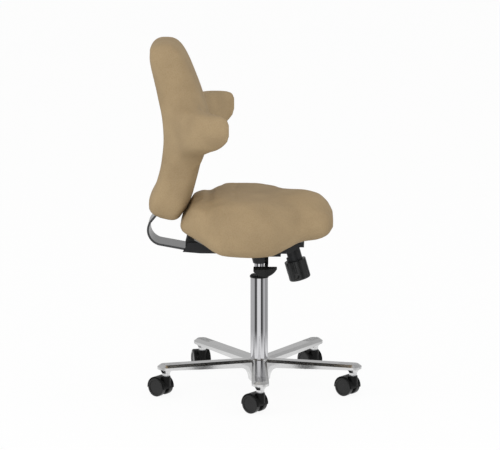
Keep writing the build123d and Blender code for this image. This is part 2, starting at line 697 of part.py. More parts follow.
def height_lever():
    """A bent flat arm with a paddle outside and a blade over the valve inside."""
    pin_z = lever_pin_z()
    half = LEVER_WIDTH / 2
    hub = rod_x(LEVER_HUB_RADIUS, LEVER_X - half, LEVER_X + half, LEVER_PIVOT_Y, pin_z)
    blade_z = VALVE_TOP_Z + SLIDE_FIT
    blade_end = 2.5 * VALVE_RADIUS
    lift = [
        (LEVER_PIVOT_Y - 3, pin_z),
        (LEVER_PIVOT_Y + 3, pin_z),
        (LEVER_PIVOT_Y + 3 + LEVER_THICK, blade_z),
        (blade_end, blade_z),
        (blade_end, blade_z + LEVER_THICK),
        (LEVER_PIVOT_Y + 3, blade_z + LEVER_THICK),
    ]
    inner = make_face(Plane.YZ * Polyline(*lift, close=True))
    blade = Pos(-blade_end, 0, 0) * extrude(inner, amount=LEVER_X + half + blade_end, dir=(1, 0, 0))
    blade -= block(
        -blade_end - 1, LEVER_X - half, LEVER_PIVOT_Y - LEVER_HUB_RADIUS - 1, -TRAY_WALL - 1, pin_z - 9, blade_z + 9
    )
    arm_top = pin_z - LEVER_DROP
    paddle_in = PADDLE_Y + PADDLE_DEPTH
    reach = [
        (LEVER_PIVOT_Y - 3, pin_z - LEVER_HUB_RADIUS + 1),
        (LEVER_PIVOT_Y + 2, pin_z),
        (LEVER_PIVOT_Y - 4, pin_z + 2),
        (-TRAY_HALF - 12, arm_top + LEVER_THICK),
        (paddle_in - 6, arm_top + LEVER_THICK / 2),
        (paddle_in - 6, arm_top - LEVER_THICK / 2),
        (-TRAY_HALF - 10, arm_top - 1),
    ]
    outer = make_face(Plane.YZ * Polyline(*reach, close=True))
    arm = Pos(LEVER_X - half, 0, 0) * extrude(outer, amount=LEVER_WIDTH, dir=(1, 0, 0))
    sag = PADDLE_THICK * 0.55
    left = PADDLE_X - PADDLE_LENGTH / 2
    right = PADDLE_X + PADDLE_LENGTH / 2
    top_z = arm_top + LEVER_THICK / 2
    outline = (
        Line((left, top_z), (right, top_z))
        + Line((right, top_z), (right, top_z - PADDLE_THICK + sag))
        + ThreePointArc(
            (right, top_z - PADDLE_THICK + sag),
            (PADDLE_X - PADDLE_LENGTH * 0.12, top_z - PADDLE_THICK - sag),
            (left, top_z - PADDLE_THICK + sag),
        )
        + Line((left, top_z - PADDLE_THICK + sag), (left, top_z))
    )
    paddle = Pos(0, PADDLE_Y, 0) * extrude(make_face(Plane.XZ * outline), amount=PADDLE_DEPTH, dir=(0, 1, 0))
    corner = PADDLE_ROUND * (1 - math.sqrt(0.5))
    plan = (
        Line((left, paddle_in), (right, paddle_in))
        + Line((right, paddle_in), (right, paddle_in - PADDLE_TIP))
        + ThreePointArc(
            (right, paddle_in - PADDLE_TIP),
            (PADDLE_X + PADDLE_LENGTH * 0.32, PADDLE_Y + PADDLE_DEPTH * 0.32),
            (PADDLE_X, PADDLE_Y),
        )
        + Line((PADDLE_X, PADDLE_Y), (left + PADDLE_ROUND, PADDLE_Y))
        + ThreePointArc(
            (left + PADDLE_ROUND, PADDLE_Y), (left + corner, PADDLE_Y + corner), (left, PADDLE_Y + PADDLE_ROUND)
        )
        + Line((left, PADDLE_Y + PADDLE_ROUND), (left, paddle_in))
    )
    half_moon = Pos(0, 0, top_z - 2 * PADDLE_THICK) * extrude(make_face(plan), amount=3 * PADDLE_THICK)
    paddle = paddle & half_moon
    lever = hub + blade + arm + paddle
    return lever - rod_x(LEVER_PIN_RADIUS + RUN_FIT, LEVER_X - half - 1, LEVER_X + half + 1, LEVER_PIVOT_Y, pin_z)


def lever_pin():
    """The pin the height lever rocks on."""
    reach = LEVER_WIDTH / 2 + 7
    return rod_x(LEVER_PIN_RADIUS, LEVER_X - reach, LEVER_X + reach, LEVER_PIVOT_Y, lever_pin_z())


def tilt_frame():
    """The folded sheet frame: a plate with two skirts, a front lip and the latch ears."""
    skirt_z = FRAME_Z - FRAME_SKIRT
    plate = block(PLATE_REAR, FRAME_FRONT, -FRAME_HALF, FRAME_HALF, PLATE_Z, FRAME_Z)
    skirt = [
        (FRAME_REAR, skirt_z + 4),
        (PLATE_REAR, skirt_z),
        (PIVOT_X + 45, skirt_z),
        (FRAME_FRONT - FRONT_LIP, FRAME_Z - FRONT_LIP),
        (FRAME_FRONT, FRAME_Z - FRONT_LIP),
        (FRAME_FRONT, FRAME_Z),
        (FRAME_REAR + FRAME_BEVEL, FRAME_Z),
    ]
    body = plate + slab(skirt, -FRAME_HALF, -FRAME_IN) + slab(skirt, FRAME_IN, FRAME_HALF)
    body += block(FRAME_FRONT - FRAME_SHEET, FRAME_FRONT, -FRAME_HALF, FRAME_HALF, FRAME_Z - FRONT_LIP, PLATE_Z)
    body -= rod_y(PIVOT_RADIUS + PRESS_FIT, -FRAME_HALF - 1, FRAME_HALF + 1, PIVOT_X, PIVOT_Z)
    latch_half = LATCH_WIDTH / 2
    slot = TOOTH_LENGTH / 2 + 2
    body -= block(LATCH_X - slot, LATCH_X + slot, -TOOTH_WIDTH, TOOTH_WIDTH, PLATE_Z - 1, FRAME_Z + 1)
    notch = latch_half + 3
    body -= block(LATCH_X - notch, LATCH_X + notch, FRAME_IN - 1, FRAME_HALF + 1, skirt_z - 1, PLATE_Z - 1)
    for side in (-1, 1):
        edge = LATCH_X + side * (latch_half + SLIDE_FIT + LATCH_EAR / 2)
        ear = block(
            edge - LATCH_EAR / 2,
            edge + LATCH_EAR / 2,
            LATCH_PIN_Y - 6,
            LATCH_PIN_Y + 6,
            PLATE_Z - LATCH_EAR_DROP,
            PLATE_Z,
        )
        body += ear
    reach = latch_half + LATCH_EAR + 2
    body -= rod_x(LATCH_PIN_RADIUS + PRESS_FIT, LATCH_X - reach, LATCH_X + reach, LATCH_PIN_Y, LATCH_PIN_Z)
    for x, y in bar_bolt_places():
        body -= rod_z(BAR_BOLT_RADIUS + PRESS_FIT, PLATE_Z - 1, FRAME_Z + 1, x, y)
    return body


def pivot_nodes():
    """The tilt pin, the flanged bushes it turns in and its end clips."""
    pin_half = FRAME_HALF + 2 * CLIP_THICK
    pin = rod_y(PIVOT_RADIUS, -pin_half, pin_half, PIVOT_X, PIVOT_Z)
    bushes = []
    clips = []
    for side in (-1, 1):
        inner = side * (TRAY_HALF - TRAY_WALL)
        outer = side * TRAY_HALF
        flange = side * (FRAME_IN - SLIDE_FIT)
        sleeve = rod_y(PIVOT_RADIUS + RUN_FIT + BUSH_WALL, min(inner, outer), max(inner, outer), PIVOT_X, PIVOT_Z)
        sleeve += rod_y(
            PIVOT_RADIUS + 2.5 * BUSH_WALL, min(outer, flange), max(outer, flange), PIVOT_X, PIVOT_Z
        )
        sleeve -= rod_y(PIVOT_RADIUS + RUN_FIT, -FRAME_HALF, FRAME_HALF, PIVOT_X, PIVOT_Z)
        bushes.append(sleeve)
        near = side * FRAME_HALF
        far = side * (FRAME_HALF + CLIP_THICK)
        clip = rod_y(CLIP_RADIUS, min(near, far), max(near, far), PIVOT_X, PIVOT_Z)
        clip -= rod_y(PIVOT_RADIUS + PRESS_FIT, -pin_half, pin_half, PIVOT_X, PIVOT_Z)
        clips.append(clip)
    return {
        "pivot_pin": pin,
        "pivot_bushes": Compound(children=bushes),
        "pivot_clips": Compound(children=clips),
    }


def rear_cover():
    """The moulded cap over the rear of the frame, open below."""
    half = FRAME_IN - SLIDE_FIT
    rear = FRAME_REAR + FRAME_BEVEL / 2
    front = PLATE_REAR - SLIDE_FIT
    foot = BAR_Z + BAR_THICK / 2 + SLIDE_FIT + 3
    top = FRAME_Z + COVER_HEIGHT
    cap = block(rear, front, -half, half, foot, top)
    cap = fillet(cap.edges().filter_by(Axis.Y).group_by(Axis.Z)[-1], COVER_ROUND)
    cap -= block(
        rear + COVER_WALL, front - COVER_WALL, COVER_WALL - half, half - COVER_WALL, foot - 1, top - COVER_WALL
    )
    return cap


# Tension knob: a grooved cap turning a spindle, whose nut loads a spring against the tray's pad
def tension_nodes():
    """The knob, spindle, nut, spring and spring cup, on the leaning axis."""
    body = Pos(0, 0, KNOB_HEIGHT / 2) * Cylinder(KNOB_RADIUS, KNOB_HEIGHT)
    body = fillet(body.edges().filter_by(GeomType.CIRCLE).sort_by(Axis.Z)[0], KNOB_ROUND)
    body -= rod_z(CUP_RADIUS + 2 * SLIDE_FIT, KNOB_FLOOR, KNOB_HEIGHT + 1)
    for index in range(KNOB_FLUTES):
        turn = Rot(0, 0, FLUTE_TURN + index * 360 / KNOB_FLUTES)
        flute_x = KNOB_RADIUS + FLUTE_RADIUS - FLUTE_BITE
        scoop_x = KNOB_RADIUS + SCOOP_RADIUS - SCOOP_BITE
        body -= turn * rod_z(FLUTE_RADIUS, SCOOP_RISE, KNOB_HEIGHT + 1, flute_x, 0)
        body -= turn * Pos(scoop_x, 0, SCOOP_RISE) * Sphere(SCOOP_RADIUS)
    spindle_top = CUP_FOOT + CUP_FLOOR + NUT_LIFT + NUT_HEIGHT + NUT_TRAVEL + 4
    spindle = rod_z(SPINDLE_RADIUS, KNOB_FLOOR, spindle_top)
    spindle += rod_z(SPINDLE_RADIUS + 3, KNOB_FLOOR, CUP_FOOT - SLIDE_FIT)
    cup_top = (PLATE_Z - KNOB_AXIS.origin.Z) / math.cos(math.radians(KNOB_LEAN)) + CUP_RADIUS
    cup = rod_z(CUP_RADIUS, CUP_FOOT, cup_top)
    cup -= rod_z(CUP_RADIUS - CUP_WALL, CUP_FOOT + CUP_FLOOR, cup_top + 1)
    cup -= rod_z(SPINDLE_RADIUS + RUN_FIT, CUP_FOOT - 1, CUP_FOOT + CUP_FLOOR + 1)
    slot_half = CUP_SLOT_WIDTH / 2
    cup -= block(-2 * CUP_RADIUS, 0, -slot_half, slot_half, CUP_SLOT_FOOT, cup_top + 1)
    cup = KNOB_AXIS.location * cup
    cup -= block(0, 2 * FRAME_FRONT, -FRAME_HALF, FRAME_HALF, PLATE_Z, PLATE_Z + 3 * CUP_RADIUS)
    nut_z = CUP_FOOT + CUP_FLOOR + NUT_LIFT
    nut = rod_z(NUT_RADIUS, nut_z, nut_z + NUT_HEIGHT) - rod_z(SPINDLE_RADIUS + RUN_FIT, nut_z - 1, spindle_top)
    spring_foot = nut_z + NUT_HEIGHT + SPRING_WIRE + SLIDE_FIT
    spring_top = PAD_HEIGHT_ON_AXIS - SPRING_WIRE - SLIDE_FIT
    pitch = (spring_top - spring_foot) / SPRING_TURNS
    path = Pos(0, 0, spring_foot) * Helix(pitch, spring_top - spring_foot, SPRING_RADIUS)
    section = Plane(origin=path @ 0, z_dir=path % 0) * Circle(SPRING_WIRE)
    spring = sweep(section, path)
    print("spring gap between turns", round(pitch - 2 * SPRING_WIRE, 2))
    return {
        "tension_knob": KNOB_AXIS.location * body,
        "tension_spindle": KNOB_AXIS.location * spindle,
        "spring_cup": cup,
        "tension_nut": KNOB_AXIS.location * nut,
        "tension_spring": KNOB_AXIS.location * spring,
    }


# Seat slide: two T rails on the frame, two runners under the shell, a rack and its latch
def rail_nodes():
    """The rails, runners, rack and latch."""
    rails = []
    runners = []
    runner_front = LATCH_X + LATCH_WIDTH + RUNNER_LENGTH / 2
    for side in (-1, 1):
        y = side * RAIL_Y
        top = FRAME_Z + RAIL_HEIGHT
        rail = block(RAIL_REAR, RAIL_FRONT, y - RAIL_FLANGE, y + RAIL_FLANGE, FRAME_Z, FRAME_Z + RAIL_SHEET)
        rail += block(RAIL_REAR, RAIL_FRONT, y - RAIL_WEB, y + RAIL_WEB, FRAME_Z, top)
        rail += block(RAIL_REAR, RAIL_FRONT, y - RAIL_FLANGE, y + RAIL_FLANGE, top - RAIL_SHEET, top)
        rails.append(rail)
        rear = RAIL_REAR + RUNNER_WALL
        half = RAIL_FLANGE + SLIDE_FIT + RUNNER_WALL
        foot = top - RAIL_SHEET - SLIDE_FIT - RUNNER_WALL
        runner = block(rear, rear + RUNNER_LENGTH, y - half, y + half, foot, RUNNER_Z)
        inside = RAIL_FLANGE + SLIDE_FIT
        runner -= block(
            rear - 1,
            rear + RUNNER_LENGTH + 1,
            y - inside,
            y + inside,
            top - RAIL_SHEET - SLIDE_FIT,
            top + SLIDE_FIT,
        )
        throat = RAIL_WEB + 2 * SLIDE_FIT
        runner -= block(
            rear - 1, rear + RUNNER_LENGTH + 1, y - throat, y + throat, foot - 1, top - RAIL_SHEET
        )
        runners.append(runner)
    pitch = SEAT_TRAVEL / SEAT_STEPS
    slot_half = TOOTH_LENGTH / 2 + TOOTH_PLAY
    rack = block(
        LATCH_X - SEAT_TRAVEL - RACK_END, LATCH_X + RACK_END, -RACK_HALF, RACK_HALF, RACK_Z, RUNNER_Z
    )
    for step in range(SEAT_STEPS + 1):
        x = LATCH_X - step * pitch
        tooth_half = TOOTH_WIDTH / 2 + TOOTH_SWAY
        rack -= block(x - slot_half, x + slot_half, -tooth_half, tooth_half, RACK_Z - 1, RUNNER_Z - 1)
    latch = slide_latch()
    reach = LATCH_WIDTH / 2 + SLIDE_FIT + LATCH_EAR
    pin = rod_x(LATCH_PIN_RADIUS, LATCH_X - reach, LATCH_X + reach, LATCH_PIN_Y, LATCH_PIN_Z)
    return {
        "slide_rails": Compound(children=rails),
        "slide_runners": Compound(children=runners),
        "latch_rack": rack,
        "slide_latch": latch,
        "latch_pin": pin,
    }


def slide_latch():
    """The seat latch: a tooth into the rack inside, a finger grip on the sitter's left."""
    half = LATCH_WIDTH / 2
    hub = rod_x(LATCH_PIN_RADIUS + 3, LATCH_X - half, LATCH_X + half, LATCH_PIN_Y, LATCH_PIN_Z)
    low = LATCH_PIN_Z - LATCH_THICK / 2
    high = LATCH_PIN_Z + LATCH_THICK / 2
    tooth_half = TOOTH_WIDTH / 2
    inner = block(LATCH_X - half, LATCH_X + half, -tooth_half, LATCH_PIN_Y, low, high)
    inner += block(
        LATCH_X - TOOTH_LENGTH / 2, LATCH_X + TOOTH_LENGTH / 2, -tooth_half, tooth_half, low, RACK_Z - TOOTH_CLEAR
    )
    outer = block(LATCH_X - half, LATCH_X + half, LATCH_PIN_Y, LATCH_OUT_Y, low, high)
    grip = Pos(LATCH_X, LATCH_OUT_Y - LATCH_GRIP / 2, LATCH_PIN_Z) * extrude(
        RectangleRounded(2.2 * LATCH_WIDTH, LATCH_GRIP, LATCH_GRIP / 3), amount=LATCH_THICK * 0.8, both=True
    )
    bore = rod_x(LATCH_PIN_RADIUS + RUN_FIT, LATCH_X - half - 1, LATCH_X + half + 1, LATCH_PIN_Y, LATCH_PIN_Z)
    return hub + inner + outer + grip - bore


# Seat: a saddle shell with a flat pan, and its foam with a lobe, two flaps and a nose
def saddle_below(lift, spread):
    """Everything under the shell's upper face, raised by lift and widened by spread."""
    stations = [
        (SHELL_REAR - spread, SHELL_LOBE_HALF, 8.0),
        (FLAP_REAR_X + 30, SHELL_FLAP_HALF - 14, SHELL_FLAP_DROP - 2),
        (FLAP_MID_X, SHELL_FLAP_HALF, SHELL_FLAP_DROP),
        (FLAP_FRONT_X - 40, SHELL_FLAP_HALF - 24, SHELL_FLAP_DROP - 2),
        (FLAP_FRONT_X + 30, SHELL_NOSE_HALF + 8, 4.0),
        (SHELL_FRONT + spread, SHELL_NOSE_HALF, 2.0),
    ]
    foot = SHELL_Z - 4 * SHELL_THICK - FLAP_DROP
    sections = []
    for x, half, drop in stations:
        pan = min(PAN_HALF, half - 8)
        edge = SHELL_Z - drop + lift
        top = SHELL_Z + lift
        wide = half + spread
        outline = [
            (-wide, foot),
            (wide, foot),
            (wide, edge),
            (pan, top),
            (-pan, top),
            (-wide, edge),
        ]
        sections.append(Pos(x, 0, 0) * make_face(Plane.YZ * Polyline(*outline, close=True)))
    return loft(sections, ruled=True)


def seat_shell():
    """The moulded saddle shell, one wall thick, with holes for its screws."""
    shell = saddle_below(0, 0) - Pos(0, 0, -SHELL_THICK) * saddle_below(0, SHELL_THICK)
    for x, y in seat_screw_places():
        shell -= rod_z(SCREW_RADIUS + PRESS_FIT, SHELL_Z - SHELL_THICK - 1, SHELL_Z + 1, x, y)
    return shell


def seat_screw_places():
    """Two screws down into each runner."""
    rear = RAIL_REAR + RUNNER_WALL
    for x in (rear + RUNNER_LENGTH * 0.15, rear + RUNNER_LENGTH * 0.85):
        for side in (-1, 1):
            yield x, side * RAIL_Y


def foam_section(x, half, top, crown, shoulder, waist, foot_half, foot):
    """One crosswise seat section: a crowned top, rounded flanks drawn in below, a flat foot."""
    flank = top - crown
    waist_half = half
    left = [(-shoulder, flank), (-waist_half, waist), (-foot_half, foot)]
    right = [(shoulder, flank), (waist_half, waist), (foot_half, foot)]
    outline = (
        ThreePointArc(left[0], (0, top), right[0])
        + bowed(right[0], right[1], 0.17)
        + bowed(right[1], right[2], 0.2)
        + Line(right[2], left[2])
        + bowed(left[2], left[1], 0.2)
        + bowed(left[1], left[0], 0.17)
    )
    return Pos(x, 0, 0) * make_face(Plane.YZ * outline)


def seat_cushion():
    """The foam saddle over the shell, closed at both ends by small rounded sections."""
    lip = SEAT_LIP_Z
    nose_foot = SHELL_Z - SHELL_THICK - 3
    stations = [
        (SEAT_REAR, 74.0, SEAT_Z - 76, 5.0, 50.0, SHELL_Z + 30, 60.0, SHELL_Z + 22),
        (SEAT_REAR + 7, 96.0, SEAT_Z - 64, 8.0, 64.0, SHELL_Z + 33, 80.0, SHELL_Z + 14),
        (SEAT_REAR + 16, 112.0, SEAT_Z - 47, 12.0, 72.0, SHELL_Z + 38, 92.0, SHELL_Z + 9),
        (LOBE_X, LOBE_HALF - 8, SEAT_Z - 24, 16.0, 82.0, SHELL_Z + 40, 108.0, SHELL_Z + 2),
        (LOBE_X + 20, LOBE_HALF + 12, SEAT_Z - 8, 18.0, 92.0, SHELL_Z + 36, 128.0, SHELL_Z - 8),
        (FLAP_REAR_X, 186.0, SEAT_Z - 4, 17.0, 112.0, SHELL_Z + 24, 164.0, lip + 18),
        (FLAP_REAR_X + 45, FLAP_HALF - 12, SEAT_Z - 4, 5.0, 152.0, SHELL_Z + 14, 202.0, lip + 4),
        (FLAP_MID_X, FLAP_HALF, SEAT_Z - 6, 4.0, 154.0, SHELL_Z + 12, 206.0, lip),
        (FLAP_FRONT_X - 50, FLAP_HALF - 14, SEAT_Z - 5, 7.0, 143.0, SHELL_Z + 13, 194.0, lip + 2),
        (FLAP_FRONT_X, 168.0, SEAT_Z - 4, 16.0, 106.0, SHELL_Z + 26, 136.0, lip + 14),
        (FLAP_FRONT_X + 38, 120.0, SEAT_Z - 2, 19.0, 86.0, SHELL_Z + 44, 92.0, nose_foot - 4),
        (NOSE_X + 20, NOSE_HALF, SEAT_Z - 9, 20.0, 78.0, SHELL_Z + 46, 78.0, nose_foot),
        (SEAT_FRONT - 15, 92.0, SEAT_Z - 33, 16.0, 64.0, SHELL_Z + 42, 66.0, nose_foot + 11),
        (SEAT_FRONT, 62.0, SEAT_Z - 59, 6.0, 42.0, SHELL_Z + 38, 46.0, nose_foot + 30),
    ]
    foam = loft([foam_section(*station) for station in stations])
    cut = saddle_below(SOFT_GAP, SOFT_GAP)
    for x, y in seat_screw_places():
        cut += rod_z(SCREW_HEAD + SOFT_GAP, SHELL_Z, SHELL_Z + SCREW_HEAD_HEIGHT + SOFT_GAP, x, y)
    return foam - cut


def seat_screws():
    """The screws from the shell into the runners."""
    screws = []
    for x, y in seat_screw_places():
        shank = rod_z(SCREW_RADIUS, RUNNER_Z, SHELL_Z, x, y)
        screws.append(shank + rod_z(SCREW_HEAD, SHELL_Z, SHELL_Z + SCREW_HEAD_HEIGHT, x, y))
    return Compound(children=screws)


# Back: a bent flat bar, the carrier that slides on it, a bent shell and the winged foam
def bar_bolt_places():
    """Four bolts through the bar, spacer and frame."""
    for x in (BAR_FRONT - SPACER_LENGTH * 0.3, BAR_FRONT - SPACER_LENGTH * 0.85):
        for side in (-1, 1):
            yield x, side * SPACER_HALF * 0.6


def bar_outline(thick, width, run):
    """The flat bar along its bent middle line."""
    bend = (BAR_BEND_X, BAR_Z + BAR_RISE)
    entry = (BAR_ENTRY_X, BAR_ENTRY_Z)
    head = (BAR_ENTRY_X + run * LEAN_X, BAR_ENTRY_Z + run * LEAN_Z)
    land = (BAR_FRONT - BAR_LAND, BAR_Z)
    line = Plane.XZ * FilletPolyline(
        (BAR_FRONT, BAR_Z), land, bend, entry, head, radius=(BAR_JOG_RADIUS, BAR_BEND_RADIUS, BAR_JOG_RADIUS)
    )
    section = Plane(origin=line @ 0, x_dir=(0, 1, 0), z_dir=line % 0) * Rectangle(width, thick)
    return sweep(section, line)


def bar_nodes():
    """The bar, its spacer under the frame plate and its bolts."""
    bar = bar_outline(BAR_THICK, BAR_WIDTH, BAR_RUN)
    top = BAR_Z + BAR_THICK / 2
    foot = BAR_Z - BAR_THICK / 2
    spacer = block(BAR_FRONT - SPACER_LENGTH, BAR_FRONT, -SPACER_HALF, SPACER_HALF, top, PLATE_Z)
    bolts = []
    for x, y in bar_bolt_places():
        hole = rod_z(BAR_BOLT_RADIUS + PRESS_FIT, foot - 1, PLATE_Z + 1, x, y)
        bar -= hole
        spacer -= hole
        shank = rod_z(BAR_BOLT_RADIUS, foot, FRAME_Z, x, y)
        head = rod_z(BAR_BOLT_HEAD, foot - BAR_BOLT_HEAD_HEIGHT, foot, x, y)
        socket = Pos(x, y, foot - BAR_BOLT_HEAD_HEIGHT) * extrude(
            RegularPolygon(BAR_BOLT_RADIUS * 0.75, 6), amount=BAR_BOLT_HEAD_HEIGHT * 0.6
        )
        bolts.append(shank + head - socket)
    return {"back_bar": bar, "bar_spacer": spacer, "bar_bolts": Compound(children=bolts)}


def back_shell_outline(thick, width, grow):
    """The bent plate in front of the carrier, lengthened by grow at both ends."""
    rear = CARRIER_THICK / 2
    low = CARRIER_START
    knee = CARRIER_START + BACK_SHELL_LOW
    bend = math.radians(BACK_SHELL_BEND)
    rise = BACK_SHELL_HIGH + grow
    outline = [
        (rear, low - grow),
        (rear + thick, low - grow),
        (rear + thick, knee),
        (rear + thick - rise * math.sin(bend), knee + rise * math.cos(bend)),
        (rear - rise * math.sin(bend), knee + rise * math.cos(bend)),
        (rear, knee),
    ]
    plate = make_face(Plane.XZ * Polyline(*outline, close=True))
    return BACK_RUN.location * extrude(plate, amount=width / 2, both=True)


def back_carrier(thick, width, low, high):
    """A block on the back's sliding direction."""
    return BACK_RUN.location * block(-thick / 2, thick / 2, -width / 2, width / 2, low, high)


def panel_section(z, rear, front, half):
    """One level cushion section with rounded corners and swelling faces."""
    corner = min(BACK_CORNER, (front - rear) * 0.4)
    slant = corner * (1 - math.sqrt(0.5))
    side = half - corner
    near = rear + corner
    far = front - corner
    outline = (
        ThreePointArc((far, -half), (front - slant, slant - half), (front, -side))
        + ThreePointArc((front, -side), (front + BACK_CROWN, 0), (front, side))
        + ThreePointArc((front, side), (front - slant, half - slant), (far, half))
        + Line((far, half), (near, half))
        + ThreePointArc((near, half), (rear + slant, half - slant), (rear, side))
        + ThreePointArc((rear, side), (rear - BACK_CROWN / 2, 0), (rear, -side))
        + ThreePointArc((rear, -side), (rear + slant, slant - half), (near, -half))
        + Line((near, -half), (far, -half))
    )
    return Pos(0, 0, z) * make_face(outline)


def wing_section(y, rear, front, z, height):
    """One upright wing section across Y, rounded above and below."""
    half = height / 2
    thick = front - rear
    round_x = thick * 0.32
    round_z = half * 0.42
    outline = (
        bowed((rear + round_x, z - half), (front - round_x, z - half), -0.03)
        + bowed((front - round_x, z - half), (front, z - half + round_z), -0.18)
        + bowed((front, z - half + round_z), (front, z + half - round_z), -0.05)
        + bowed((front, z + half - round_z), (front - round_x, z + half), -0.18)
        + bowed((front - round_x, z + half), (rear + round_x, z + half), -0.03)
        + bowed((rear + round_x, z + half), (rear, z + half - round_z), -0.18)
        + bowed((rear, z + half - round_z), (rear, z - half + round_z), -0.05)
        + bowed((rear, z - half + round_z), (rear + round_x, z - half), -0.18)
    )
    return Pos(0, y, 0) * make_face(Plane.XZ * outline)


def back_cushion():
    """The foam back: a bent panel with a lumbar swell and two wings swept forward."""
    levels = [
        (0, -281, -224, 78),
        (10, -298, -216, 92),
        (35, -304, -204, 102),
        (87, -289, -188, 108),
        (160, -271, -168, 110),
        (225, -264, -153, 110),
        (275, -267, -150, 108),
        (340, -278, -167, 104),
        (415, -292, -194, 101),
        (465, -303, -216, 95),
        (488, -299, -231, 80),
        (497, -286, -248, 56),
    ]
    panel = loft([panel_section(BACK_Z + rise, rear, front, half) for rise, rear, front, half in levels])
    wing_z = BACK_Z + WING_RISE
    reach = [
        (70.0, -244, -158, -8, WING_HEIGHT + 12),
        (125.0, -232, -142, -7, WING_HEIGHT + 8),
        (175.0, -204, -115, -5, WING_HEIGHT),
        (212.0, -176, -95, -3, WING_HEIGHT - 10),
        (234.0, -150, -82, -1, WING_TIP_HEIGHT - 14),
        (WING_TIP_Y, -132, -89, 0, WING_TIP_HEIGHT * 0.52),
    ]
    left = loft([wing_section(y, rear, front, wing_z + shift, height) for y, rear, front, shift, height in reach])
    right = mirror(left, about=Plane.XZ)
    foam = panel + left + right
    gap = SOFT_GAP
    head = BAR_RUN + BACK_TRAVEL * 0.1
    foam -= back_carrier(CARRIER_THICK + 2 * gap, CARRIER_WIDTH + 2 * gap, -60, head)
    foam -= back_shell_outline(BACK_SHELL_THICK + gap, BACK_SHELL_WIDTH + 2 * gap, gap)
    mouth = bar_outline(BAR_THICK + 8, BAR_WIDTH + 8, BAR_RUN)
    return foam - mouth


def back_nodes():
    """The foam, the shell inside it and the carrier on the bar."""
    carrier = back_carrier(CARRIER_THICK, CARRIER_WIDTH, CARRIER_START, CARRIER_START + CARRIER_LENGTH)
    carrier -= back_carrier(
        BAR_THICK + 2 * SLIDE_FIT, BAR_WIDTH + 2 * SLIDE_FIT, CARRIER_START - 1, CARRIER_START + CARRIER_LENGTH + 1
    )
    return {
        "back_cushion": back_cushion(),
        "back_shell": back_shell_outline(BACK_SHELL_THICK, BACK_SHELL_WIDTH, 0),
        "back_carrier": carrier,
    }


nodes = {"star_base": star_base()}
nodes.update(caster_nodes())
nodes.update(column_nodes())
nodes["mechanism_tray"] = mechanism_tray()
nodes["height_lever"] = height_lever()
nodes["lever_pin"] = lever_pin()
nodes["tilt_frame"] = tilt_frame()
nodes.update(pivot_nodes())
nodes["rear_cover"] = rear_cover()
nodes.update(tension_nodes())
nodes.update(rail_nodes())
nodes["seat_shell"] = seat_shell()
nodes["seat_cushion"] = seat_cushion()
nodes["seat_screws"] = seat_screws()
nodes.update(bar_nodes())
nodes.update(back_nodes())

os.makedirs("parts", exist_ok=True)
for name, shape in nodes.items():
    export_step(shape, f"parts/{name}.step")
    solids = shape.solids()
    print(name, len(solids), round(sum(solid.volume for solid in solids) / 1000, 1), "cm3")
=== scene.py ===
import math

import bpy
import numpy as np
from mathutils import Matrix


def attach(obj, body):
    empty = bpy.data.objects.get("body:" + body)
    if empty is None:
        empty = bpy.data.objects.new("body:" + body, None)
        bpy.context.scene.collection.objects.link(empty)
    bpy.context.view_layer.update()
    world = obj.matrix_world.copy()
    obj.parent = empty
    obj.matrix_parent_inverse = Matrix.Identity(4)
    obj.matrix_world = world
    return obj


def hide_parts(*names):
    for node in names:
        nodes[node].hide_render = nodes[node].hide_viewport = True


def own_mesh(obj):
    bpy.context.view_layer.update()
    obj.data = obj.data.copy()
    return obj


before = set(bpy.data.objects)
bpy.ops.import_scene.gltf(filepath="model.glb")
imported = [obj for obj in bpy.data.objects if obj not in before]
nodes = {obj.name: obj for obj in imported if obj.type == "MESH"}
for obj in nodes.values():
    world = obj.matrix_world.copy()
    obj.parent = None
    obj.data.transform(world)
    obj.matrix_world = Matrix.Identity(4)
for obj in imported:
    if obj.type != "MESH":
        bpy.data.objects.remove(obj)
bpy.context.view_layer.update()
mm = 0.001

# The camera of the photograph: a long lens from well above the chair, looking down at the sitter's right side
viewpoint = {
    "place": (0.2092, -8.9976, 2.3023),
    "lookDown": 11.4506,                 # degrees below level
    "turn": 1.5,                         # degrees about the upright axis
    "lens": 232.2, "sensor": 36.0,       # mm
    "reach": 60.0,                       # m, past the far edge of the floor
}
cameraData = bpy.data.cameras.new("photoCamera")
cameraData.lens = viewpoint["lens"]
cameraData.sensor_width = viewpoint["sensor"]
cameraData.clip_end = viewpoint["reach"]
camera = bpy.data.objects.new("photoCamera", cameraData)
camera.location = viewpoint["place"]
camera.rotation_euler = (math.radians(90.0 - viewpoint["lookDown"]), 0.0, math.radians(viewpoint["turn"]))
bpy.context.scene.collection.objects.link(camera)
bpy.context.scene.camera = camera
bpy.context.scene.view_settings.view_transform = "Standard"
print("camera set")


# Colours are written as sRGB hex and turned to linear here, by the sRGB curve
def linear(hexColour):
    parts = np.array([int(hexColour[i:i + 2], 16) / 255.0 for i in (1, 3, 5)])
    flat = np.where(parts <= 0.04045, parts / 12.92, ((parts + 0.055) / 1.055) ** 2.4)
    return (*flat.tolist(), 1.0)


# Adds one node with its settings and links; stops are the colour stops of a ramp, in order
def addNode(tree, kind, fields=None, sockets=None, links=None, stops=None):
    node = tree.nodes.new(kind)
    for field, value in (fields or {}).items():
        setattr(node, field, value)
    for socket, value in (sockets or {}).items():
        node.inputs[socket].default_value = value
    for socket, (source, output) in (links or {}).items():
        tree.links.new(source.outputs[output], node.inputs[socket])
    for index, (position, colour) in enumerate(stops or []):
        band = node.color_ramp.elements
        element = band[index] if index < len(band) else band.new(position)
        element.position = position
        element.color = colour
    return node


